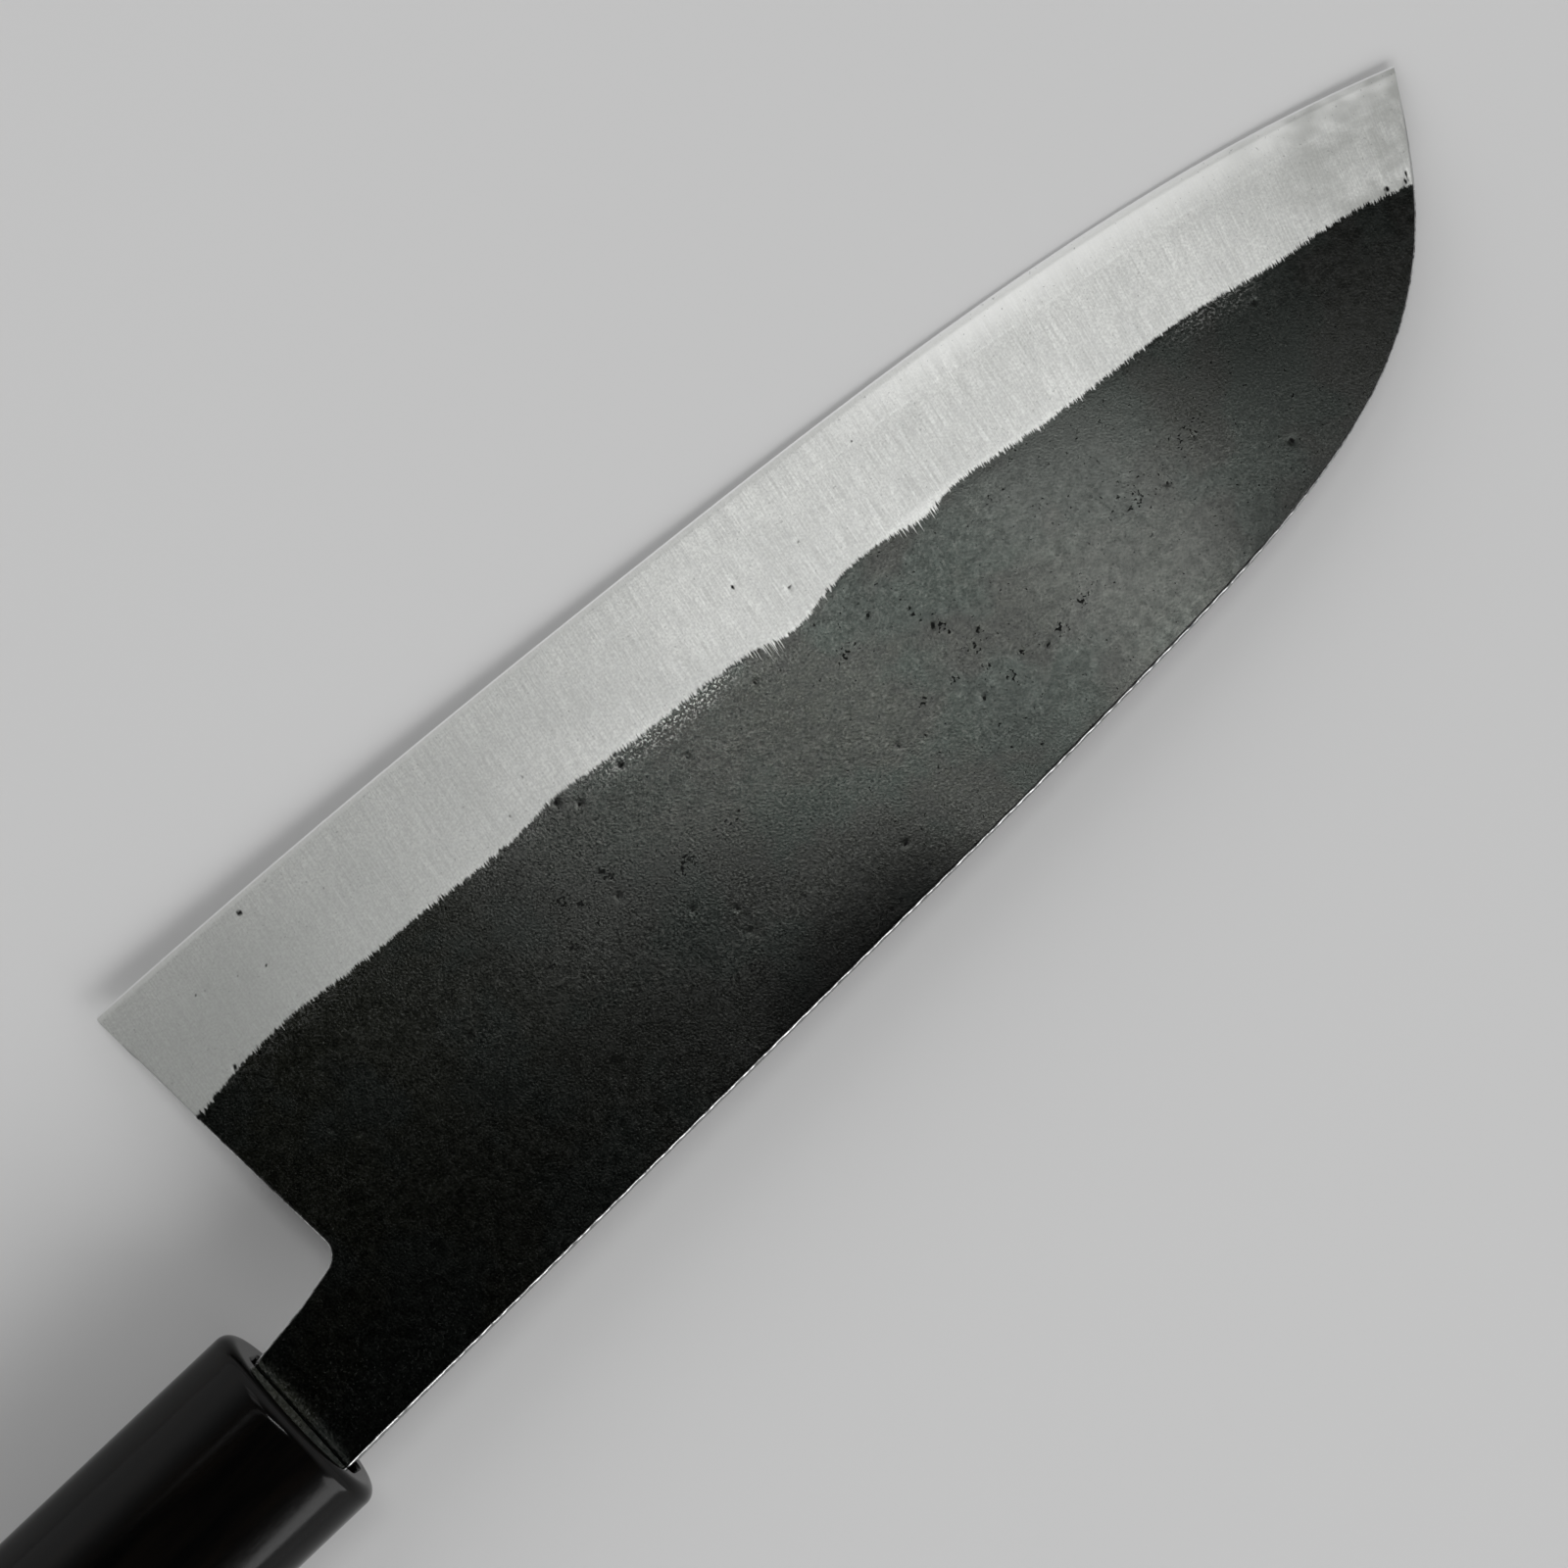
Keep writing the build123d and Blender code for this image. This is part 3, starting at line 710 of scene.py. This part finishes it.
def ferrule_piece(name):
    half_y, half_z = FERRULE_WIDTH / 2, FERRULE_THICKNESS / 2
    bore = oval(DOWEL_RADIUS, DOWEL_RADIUS)
    rings = [ring(-FERRULE_LENGTH, oval(half_y, half_z))]
    run_on(rings, (ring(-FERRULE_RIM, oval(half_y, half_z)), 60))
    for turn in QUARTER:
        loop = oval(half_y, half_z, FERRULE_RIM * (1 - math.cos(turn)))
        rings.append(ring(FERRULE_RIM * (math.sin(turn) - 1), loop))
    mouth = oblong(MOUTH_WIDTH / 2, MOUTH_THICKNESS / 2, MOUTH_CORNER, MOUTH_Y)
    wide = oblong(MOUTH_WIDTH / 2 + MOUTH_CHAMFER, MOUTH_THICKNESS / 2 + MOUTH_CHAMFER,
                  MOUTH_CORNER + MOUTH_CHAMFER, MOUTH_Y)
    run_on(rings, (ring(0, wide), 6), (ring(-MOUTH_CHAMFER, mouth), 2), (ring(SHOULDER_X, mouth), 4),
           (ring(SHOULDER_X, socket(SHOULDER_X)), 2), (ring(DOWEL_FRONT_X, socket(DOWEL_FRONT_X)), 3),
           (ring(DOWEL_FRONT_X, bore), 2), (ring(-FERRULE_LENGTH, bore), 6), (rings[0], 3))
    points, faces = loft(rings[:-1], closed=True)
    return knife_mesh(name, points, faces)


# Layers of the handle's grain: height, size along X and round the girth, seed.
HANDLE_GRAIN = ((0.012, 14, 1.3, 41), (0.03, 30, 9, 42))
BUTT_MIDDLE = 0.02  # size of the butt face's innermost ring, as a share of the outermost


def handle_piece(name):
    """The tapered oval, with its grain standing very slightly proud, and its bores."""
    def outer(x, inset=0.0):
        k = (-FERRULE_LENGTH - x) / (HANDLE_LENGTH - FERRULE_LENGTH)
        return oval((FERRULE_WIDTH + (BUTT_WIDTH - FERRULE_WIDTH) * k) / 2,
                    (FERRULE_THICKNESS + (BUTT_THICKNESS - FERRULE_THICKNESS) * k) / 2, inset)

    bore = oval(DOWEL_RADIUS, DOWEL_RADIUS)
    butt = ring(-HANDLE_LENGTH, outer(-HANDLE_LENGTH, BUTT_RIM))
    rings = between(butt * [1, 0, 0] + (butt - butt * [1, 0, 0]) * BUTT_MIDDLE, butt, 14)
    for turn in QUARTER:
        x = -HANDLE_LENGTH + BUTT_RIM * (1 - math.cos(turn))
        rings.append(ring(x, outer(x, BUTT_RIM * (1 - math.sin(turn)))))
    x_values = np.linspace(-HANDLE_LENGTH + BUTT_RIM, -FERRULE_LENGTH, 190)[1:]
    share = np.arange(LOOP) / LOOP
    girth = math.pi * (BUTT_WIDTH + BUTT_THICKNESS) / 2
    for x in x_values:
        proud = np.zeros(LOOP)
        for depth, long, wide, seed in HANDLE_GRAIN:
            here, before = (noise(np.full(LOOP, x / long), girth * (share - k) / wide, seed) for k in (0, 1))
            proud += depth * (here + (before - here) * share)  # so that the loop's ends meet
        proud *= smoothstep(-FERRULE_LENGTH - x, 0.0, 3.0) * smoothstep(x + HANDLE_LENGTH, 2.0, 5.0)
        loop = outer(x)
        rings.append(ring(x, loop * (1 + (proud / np.linalg.norm(loop, axis=1))[:, None])))
    run_on(rings, (ring(-FERRULE_LENGTH, bore), 3), (ring(DOWEL_END_X, bore), 8),
           (ring(DOWEL_END_X, socket(DOWEL_END_X)), 2),
           (ring(TANG_END_X - BEDDING, socket(TANG_END_X - BEDDING)), 3))
    points, faces = loft(rings, closed=False)
    return knife_mesh(name, points, faces)


# ---- Materials ----
class Shader:
    """Short names for the nodes of one material or world."""

    def __init__(self, owner):
        owner.use_nodes = True
        self.owner, self.tree = owner, owner.node_tree

    def node(self, kind, **inputs):
        made = self.tree.nodes.new("ShaderNode" + kind)
        for key, value in inputs.items():
            self.put(made.inputs[int(key[1:]) if key[0] == "i" and key[1:].isdigit() else key], value)
        return made

    def put(self, socket_in, value):
        if hasattr(value, "is_output"):
            self.tree.links.new(value, socket_in)
        else:
            socket_in.default_value = value

    def field(self, name, output="Vector"):
        made = self.node("Attribute")
        made.attribute_type = "GEOMETRY"
        made.attribute_name = name
        return made.outputs[output]

    def math(self, kind, a, b=0.0, clamp=False):
        made = self.node("Math", i0=a, i1=b)
        made.operation = kind
        made.use_clamp = clamp
        return made.outputs[0]

    def times(self, a, b):
        return self.math("MULTIPLY", a, b)

    def ramp(self, value, low, high, from_value=0.0, to_value=1.0):
        """value from low to high as from_value to to_value, with smooth ends."""
        made = self.node("MapRange", i0=value, i1=low, i2=high, i3=from_value, i4=to_value)
        made.interpolation_type = "SMOOTHSTEP"
        return made.outputs[0]

    def window(self, value, middle, near, far, share):
        """share where value is within near of middle, and down to 0 at far from it."""
        away = self.math("ABSOLUTE", self.math("SUBTRACT", value, middle))
        return self.ramp(away, near, far, share, 0.0)

    def split(self, vector):
        return self.node("SeparateXYZ", i0=vector).outputs

    def vector(self, x, y, z=0.0):
        return self.node("CombineXYZ", i0=x, i1=y, i2=z).outputs[0]

    def noise(self, vector, scale=1.0, detail=3.0, roughness=0.55):
        made = self.node("TexNoise", Vector=vector, Scale=scale, Detail=detail, Roughness=roughness)
        return made.outputs["Fac"]

    def blend(self, factor, a, b):
        made = self.node("Mix")
        made.data_type = "RGBA"
        self.put(made.inputs[0], factor)
        self.put(made.inputs[6], a)
        self.put(made.inputs[7], b)
        return made.outputs[2]

    def coats(self, color, *coats):
        """color under coats, each of them how much it covers and its colour."""
        for cover, over in coats:
            color = self.blend(cover, color, over)
        return color

    def stretch(self, parts, x, y, z):
        """Coordinates scaled along each axis."""
        return self.vector(self.times(parts[0], x), self.times(parts[1], y), self.times(parts[2], z))

    def bump(self, height, strength, distance, normal=None):
        made = self.node("Bump", Strength=strength, Distance=distance, Height=height)
        if normal is not None:
            self.put(made.inputs["Normal"], normal)
        return made.outputs[0]

    def finish(self, color, roughness, normal, metallic=0.0, ior=1.5):
        surface = self.tree.nodes["Principled BSDF"].inputs
        labels = ("Base Color", "Roughness", "Normal", "Metallic", "IOR")
        for label, value in zip(labels, (color, roughness, normal, metallic, ior)):
            self.put(surface[label], value)
        return self.owner


def new_shader(name):
    return Shader(bpy.data.materials.new(name))


def grey(value, green=1.0, blue=1.0):
    return (value, value * green, value * blue, 1)


def strokes(s, slant, g, fine, long, detail, shift=0.0):
    """Noise drawn out into strokes square to the edge."""
    return s.noise(s.vector(s.times(slant, fine), s.times(g[1], long), shift), detail=detail)


def scale_cover(s, knife, g, slant):
    """1 on the scale and 0 on the ground steel, with a border that the stone's strokes feather."""
    stroke = strokes(s, slant, g, 5.4, 0.3, 2.0)
    thin_stroke = strokes(s, slant, g, 6.5, 0.12, 1.0, 7.0)
    patch = s.ramp(s.noise(s.vector(s.times(g[0], 0.11), 0.0, 3.3), detail=1.0), 0.42, 0.62, 0.9, 1.9)
    ragged = s.times(s.math("SUBTRACT", stroke, 0.5), patch)
    upward = s.math("MAXIMUM", s.math("SUBTRACT", thin_stroke, 0.52), 0.0)
    for middle, reach, strength in FEATHERED:
        ragged = s.math("SUBTRACT", ragged, s.times(upward, s.window(g[0], middle, 0.0, reach, strength)))
    mottle = s.times(s.math("SUBTRACT", s.noise(knife, 2.4, 3.0), 0.5), 0.5)
    return s.ramp(s.math("ADD", g[2], s.math("ADD", ragged, mottle)), -0.1, 0.26)


def ground_steel(s, knife, g, slant, fine):
    """Colour of the bevel: strokes square to the edge, clouds, specks and a polished line at the edge that is
    also a painted highlight.
    """
    cloud, speckle = s.noise(knife, 0.1, 3.0), s.noise(knife, 3.8, 2.0)
    broad = strokes(s, slant, g, 1.6, 0.16, 2.0)
    speck = s.ramp(s.noise(knife, 2.9, 1.0), 0.7, 0.76)
    smudge = s.ramp(s.noise(s.stretch(g, 0.16, 0.22, 0.0), 1.0, 2.0), 0.36, 0.64)
    tip_smear = s.times(s.ramp(g[0], 142.0, 162.0), smudge)
    heel_tint = s.times(s.ramp(g[0], 0.0, 60.0, 0.62, 0.0), s.ramp(g[1], 0.5, 7.0, 0.5, 1.0))
    honed = s.times(s.ramp(g[0], 88.0, 118.0), s.ramp(g[1], 0.9, 5.0, 0.85, 0.0))
    second_bevel = s.times(s.ramp(g[1], 0.55, 0.85, 0.6, 0.0), s.ramp(g[0], 95.0, 118.0, 1.0, 0.0))
    return s.coats(
        s.blend(s.ramp(cloud, 0.3, 0.7), grey(0.83, 1.015, 0.982), grey(0.94, 1.012, 0.978)),
        (heel_tint, grey(0.66, 1.055, 1.0)),
        (s.ramp(fine, 0.3, 0.7, 0.0, 0.44), grey(0.52, 1.01, 0.98)),
        (s.ramp(speckle, 0.3, 0.7, 0.0, 0.5), grey(0.5, 1.01, 0.98)),
        (s.ramp(broad, 0.35, 0.75, 0.0, 0.18), grey(0.55)),
        (honed, grey(0.97, 1.008, 0.985)),
        (s.times(tip_smear, 0.75), grey(0.42, 1.02, 0.97)),
        (s.times(speck, 0.4), grey(0.22)),
        (second_bevel, grey(0.8, 1.012, 0.98)),
        # Painted highlight: a thin bright line along the very edge, on steel that is also polished there.
        (s.ramp(g[1], 0.08, 0.26, 1.0, 0.0), grey(0.96)),
    )


def painted_sheen_shade(s, k, g):
    """How much painted shade darkens the scale where its sheen fades: towards the spine, in the middle of the
    blade and near the tip.
    """
    lengthwise = s.math("ADD", s.ramp(k[0], 60.0, 95.0, 0.42, 0.0), s.ramp(k[0], 112.0, 140.0, 0.0, 0.95))
    in_middle = s.times(s.ramp(k[0], 50.0, 66.0), s.ramp(k[0], 80.0, 95.0, 1.0, 0.0))
    at_spine = s.times(s.ramp(k[1], -6.0, 8.0, 0.85, 0.0), in_middle)
    # These amounts are painted shade that follow where the scale's sheen fades.
    thick = s.math("MAXIMUM", s.times(s.ramp(g[2], 6.0, 30.0), lengthwise), at_spine)
    thick = s.math("MAXIMUM", thick, s.ramp(k[0], 86.0, 102.0, 0.0, 0.24))
    return s.math("MAXIMUM", thick, s.ramp(k[0], 122.0, 146.0, 0.0, 0.58))


def forge_scale(s, knife, k, g, fleck, grit, grain):
    """Colour of the scale: dark, mottled and gritty, worn to bare iron in specks near the border, with a
    painted sheen in two patches and painted shade where the sheen fades.
    """
    drift = s.noise(knife, 0.085, 3.0, 0.55)
    # Painted sheen: the scale is made lighter where its reflection is brightest, near the border around x 63
    # and around x 121.
    painted_sheen = s.times(s.window(k[0], 63.0, 7.0, 22.0, 0.45), s.ramp(g[2], 9.0, 20.0, 1.0, 0.0))
    painted_sheen = s.math("ADD", painted_sheen, s.window(k[0], 121.0, 4.0, 15.0, 0.5))
    worn_places = 0.0
    for middle, reach, share in WORN:
        worn_places = s.math("ADD", worn_places, s.window(g[0], middle, 0.3 * reach, reach, share))
    worn_places = s.times(worn_places, s.ramp(g[2], 0.2, 3.4, 1.0, 0.0))
    worn = s.math("MULTIPLY", s.ramp(s.noise(knife, 3.3, 1.0), 0.52, 0.6), worn_places, clamp=True)
    neck_speck = s.times(s.ramp(s.noise(knife, 3.6, 1.0), 0.6, 0.68), s.ramp(k[0], 0.5, 4.5, 0.3, 0.0))
    return s.coats(
        s.blend(s.ramp(fleck, 0.3, 0.7), grey(0.027, 1.05, 0.94), grey(0.036, 1.04, 0.97)),
        (s.ramp(k[0], 15.0, 62.0, 0.7, 0.0), grey(0.03, 1.08, 0.76)),
        (s.ramp(drift, 0.46, 0.58, 0.0, 0.85), grey(0.031, 1.17, 1.06)),
        (painted_sheen, grey(0.062, 1.05, 0.98)),
        (s.times(grain, s.ramp(grit, 0.3, 0.49, 0.85, 0.0)), grey(0.007, 1.06, 0.95)),
        (s.times(grain, s.ramp(grit, 0.51, 0.68, 0.0, 0.7)), grey(0.085, 1.04, 0.96)),
        # Painted shade on the scale where its sheen fades.
        (painted_sheen_shade(s, k, g), grey(0.004)),
        (worn, grey(0.17, 1.02, 0.97)),
        (neck_speck, grey(0.17, 1.02, 0.97)),
    )


def blade_material(name):
    """Black forge scale above the border and satin ground steel below it."""
    s = new_shader(name)
    knife, grind = s.field("knife"), s.field("grind")
    k, g = s.split(knife), s.split(grind)
    slant = s.math("ADD", g[0], s.times(g[1], 0.1))
    scale = scale_cover(s, knife, g, slant)
    fine = strokes(s, slant, g, 7.0, 0.22, 3.0)
    steel = ground_steel(s, knife, g, slant, fine)
    fleck, grit = s.noise(knife, 0.9, 4.0, 0.62), s.noise(knife, 4.0, 2.0, 0.6)
    grain = s.ramp(k[0], 50.0, 112.0, 1.0, 0.5)  # strong at the heel, calmer towards the tip
    oxide = forge_scale(s, knife, k, g, fleck, grit, grain)

    # A worn arris along the outline, light as bare steel and as a painted highlight line, fine pits that
    # stand thick in some zones, and the modelled dents.
    chip = s.ramp(s.noise(s.stretch(k, 0.9, 1.6, 1.6), 1.0, 3.0), 0.3, 0.55, 0.25, 1.0)
    arris = s.times(s.ramp(s.field("rim", "Fac"), 0.08, 0.3, 1.0, 0.0), chip)
    pitting = s.math("ADD", s.noise(knife, 2.3, 3.0, 0.6), s.times(s.field("pitted", "Fac"), 0.17))
    fine_pit = s.ramp(pitting, 0.675, 0.73)
    dent = s.ramp(s.field("pit", "Fac"), 0.25, 0.75)
    dark = s.math("MAXIMUM", s.times(fine_pit, s.times(scale, 0.85)), dent)
    # The arris's light grey is partly worn bare steel and partly a painted highlight.
    color = s.coats(s.blend(scale, steel, oxide), (s.times(arris, 0.8), grey(0.5)), (dark, grey(0.01)))

    steel_rough, oxide_rough = s.ramp(fine, 0.2, 0.8, 0.36, 0.46), s.ramp(fleck, 0.25, 0.75, 0.19, 0.27)
    rough = s.node("Mix", i0=scale, i2=steel_rough, i3=oxide_rough).outputs[0]
    rough = s.math("ADD", rough, s.times(dark, 0.3), clamp=True)
    steel_height = s.times(fine, s.math("SUBTRACT", 1.0, scale))
    scale_height = s.times(s.math("SUBTRACT", s.times(grit, grain), fine_pit), scale)
    normal = s.bump(steel_height, 0.5, 0.000004)
    normal = s.bump(scale_height, 0.55, 0.00003, normal)
    return s.finish(color, rough, normal, metallic=1.0)


def horn_material(name):
    """Polished black horn with faint streaks and fine rubbing marks."""
    s = new_shader(name)
    k = s.split(s.field("knife"))
    streak = s.noise(s.stretch(k, 0.06, 0.5, 0.5), 1.0, 4.0)
    rub = s.noise(s.stretch(k, 1.2, 3.5, 3.5), 1.0, 3.0)
    color = s.blend(s.ramp(streak, 0.35, 0.75), grey(0.0015), (0.0042, 0.0034, 0.0028, 1))
    rough = s.ramp(rub, 0.3, 0.75, 0.11, 0.17)
    return s.finish(color, rough, s.bump(rub, 0.1, 0.000002), ior=1.27)


RING_SCALE = 0.28  # of the growth bands' noise, per millimetre along Z; along Y it is three times as fine


def wood_material(name, dark, light, pore, rough_low, rough_high):
    """Straight-grained wood along X, with growth bands and open pores."""
    s = new_shader(name)
    k = s.split(s.field("knife"))
    sway = s.noise(s.stretch(k, 0.02, 0.07, 0.07), 1.0, 2.0)
    across = s.math("ADD", k[1], s.times(sway, 5.0))
    bands = s.noise(s.stretch((k[0], across, k[2]), 0.012, 3 * RING_SCALE, RING_SCALE), 1.0, 4.0)
    fibre = s.noise(s.stretch(k, 0.09, 3.0, 3.0), 1.0, 4.0)
    pores = s.ramp(s.noise(s.stretch(k, 0.22, 4.2, 4.2), 1.0, 2.0), 0.6, 0.7)
    color = s.coats(s.blend(s.ramp(bands, 0.35, 0.68), dark, light),
                    (s.ramp(fibre, 0.3, 0.75, 0.0, 0.45), dark), (s.times(pores, 0.8), pore))
    rough = s.node("Mix", i0=s.ramp(fibre, 0.3, 0.7), i2=rough_low, i3=rough_high).outputs[0]
    height = s.math("SUBTRACT", s.times(fibre, 0.4), pores)
    return s.finish(color, rough, s.bump(height, 0.45, 0.00005))


def resin_material(name, dark, light, roughness):
    """Cured resin, a little cloudy."""
    s = new_shader(name)
    place = s.node("TexCoord").outputs["Object"]
    cloud = s.noise(place, 350.0, 3.0)
    color = s.blend(s.ramp(cloud, 0.3, 0.7), dark, light)
    rough = s.ramp(s.noise(place, 1500.0, 2.0), 0.3, 0.7, roughness, roughness + 0.12)
    return s.finish(color, rough, s.bump(cloud, 0.2, 0.00005))


def carry(node, material):
    """Gives a CAD node that stays shown its material."""
    materials = frame["nodes"][node].data.materials
    materials.clear()
    materials.append(material)


def dress(piece, node, material):
    """A made piece takes the place of its CAD node."""
    piece.data.materials.append(material)
    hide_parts(node)


# ---- The pieces ----
scaled_iron = blade_material("scaled_iron")
core_steel = blade_material("core_steel")
left = cladding("cladding_left_forged", 1, 100, True)
right = cladding("cladding_right_forged", -1, 200, False)
core = core_layer("blade_core_ground")
ferrule = ferrule_piece("ferrule_horn_collar")
handle = handle_piece("handle_body_turned")
dress(left, "cladding_left", scaled_iron)
dress(right, "cladding_right", scaled_iron)
dress(core, "blade_core", core_steel)
dress(ferrule, "ferrule", horn_material("ferrule_horn"))
# Woods have their dark, light and pore colour, resins their dark and light one, and then the roughness.
ebonised = wood_material("handle_wood", (0.01, 0.0075, 0.006, 1), (0.044, 0.028, 0.019, 1), grey(0.002),
                         0.34, 0.5)
bare_wood = wood_material("dowel_wood", (0.4, 0.27, 0.15, 1), (0.62, 0.47, 0.3, 1), (0.25, 0.15, 0.08, 1),
                          0.55, 0.7)
dress(handle, "handle_body", ebonised)
carry("handle_dowel", bare_wood)
carry("tang_bedding", resin_material("bedding_resin", (0.26, 0.15, 0.05, 1), (0.42, 0.28, 0.12, 1), 0.25))
carry("mouth_seal", resin_material("seal_resin", (0.01, 0.009, 0.008, 1), (0.022, 0.02, 0.017, 1), 0.38))

# ---- Floor ----
FLOOR_HALF = 30.0


def floor_material():
    """Plain pale paper, very slightly uneven."""
    s = new_shader("floor")
    place = s.node("TexCoord").outputs["Object"]
    color = s.blend(s.noise(place, 3.0, 2.0), grey(0.8), grey(0.83))
    rough = s.ramp(s.noise(place, 60.0), 0.3, 0.7, 0.8, 0.9)
    return s.finish(color, rough, s.bump(s.noise(place, 900.0), 0.05, 0.0001))


floor_mesh = bpy.data.meshes.new("floor")
corners = [(FLOOR_HALF * x, FLOOR_HALF * y, 0) for x, y in ((-1, -1), (1, -1), (1, 1), (-1, 1))]
floor_mesh.from_pydata(corners, [], [(0, 1, 2, 3)])
floor_mesh.materials.append(floor_material())
floor = new_object("floor", floor_mesh)

# ---- Camera ----
VIEW_TURN, VIEW_PITCH, VIEW_ROLL = (math.radians(a) for a in (43.3, 2.0, -6.0))
VIEW_CENTRE = (78.99, 12.82, 0.0)  # point of the blade that the camera looks at
VIEW_DISTANCE = 0.3491
LENS, SENSOR, NEAREST = 78.33, 36.0, 0.01
camera_axes = (Matrix.Rotation(VIEW_TURN, 3, "Z") @ Matrix.Rotation(VIEW_PITCH, 3, "Y")
               @ Matrix.Rotation(VIEW_ROLL, 3, "X"))  # its rows are the camera's axes, in the knife's axes
view_axes = np.array(camera_axes) @ KNIFE_AXES
camera = new_object("camera", bpy.data.cameras.new("camera"))
camera.data.lens, camera.data.sensor_width, camera.data.clip_start = LENS, SENSOR, NEAREST
camera_at = Vector(to_row(VIEW_CENTRE) + VIEW_DISTANCE * view_axes[2])
camera.matrix_world = Matrix.Translation(camera_at) @ Matrix(view_axes.T.tolist()).to_4x4()
bpy.context.scene.camera = camera

# ---- Lamps: name, offset to the right, offset up, height, width, depth, watts ----
LAMPS = (
    ("key", 0.0, 0.33, 1.0, 0.45, 0.06, 1.3),
    ("key_left", -0.45, 0.27, 1.0, 0.45, 0.05, 0.06),
    ("bevel_fill", -0.45, 0.7, 1.0, 0.45, 0.22, 0.34),
    ("edge_fill", -0.4, 1.15, 1.0, 0.5, 0.3, 0.35),
    ("low_fill", 0.0, -3.0, 1.5, 2.0, 1.6, 32.0),
    ("low_right_fill", 2.2, -2.2, 1.5, 2.0, 1.6, 32.0),
)
aim = Vector(to_row(VIEW_CENTRE))
flat_right, flat_up = (Vector((*axis[:2], 0)).normalized() for axis in view_axes[:2])


def softbox(name, right_of, up_of, height, width, depth, power):
    """A rectangular lamp over the knife, offset along the picture's right and up, turned to the knife."""
    lamp = bpy.data.lights.new(name, "AREA")
    lamp.shape, lamp.size, lamp.size_y, lamp.energy = "RECTANGLE", width, depth, power
    place = aim + flat_right * right_of + flat_up * up_of + Vector((0, 0, height))
    toward = (aim - place).normalized()
    side = (flat_right - toward * flat_right.dot(toward)).normalized()
    axes = Matrix((side, (-toward).cross(side), -toward)).transposed()
    new_object(name, lamp).matrix_world = Matrix.Translation(place) @ axes.to_4x4()


for lamp in LAMPS:
    softbox(*lamp)

# ---- World: a bright horizon and a black zenith ----
HORIZON, ZENITH, HORIZON_END, ZENITH_START = 0.75, 0.0, 0.4, 0.85
world = bpy.data.worlds.new("studio")
bpy.context.scene.world = world
sky = Shader(world)
upward = sky.split(sky.node("TexCoord").outputs["Generated"])[2]
background = sky.tree.nodes["Background"].inputs
sky.put(background["Strength"], sky.ramp(upward, HORIZON_END, ZENITH_START, HORIZON, ZENITH))
background["Color"].default_value = (1, 1, 1, 1)
bpy.context.scene.view_settings.view_transform = "Standard"
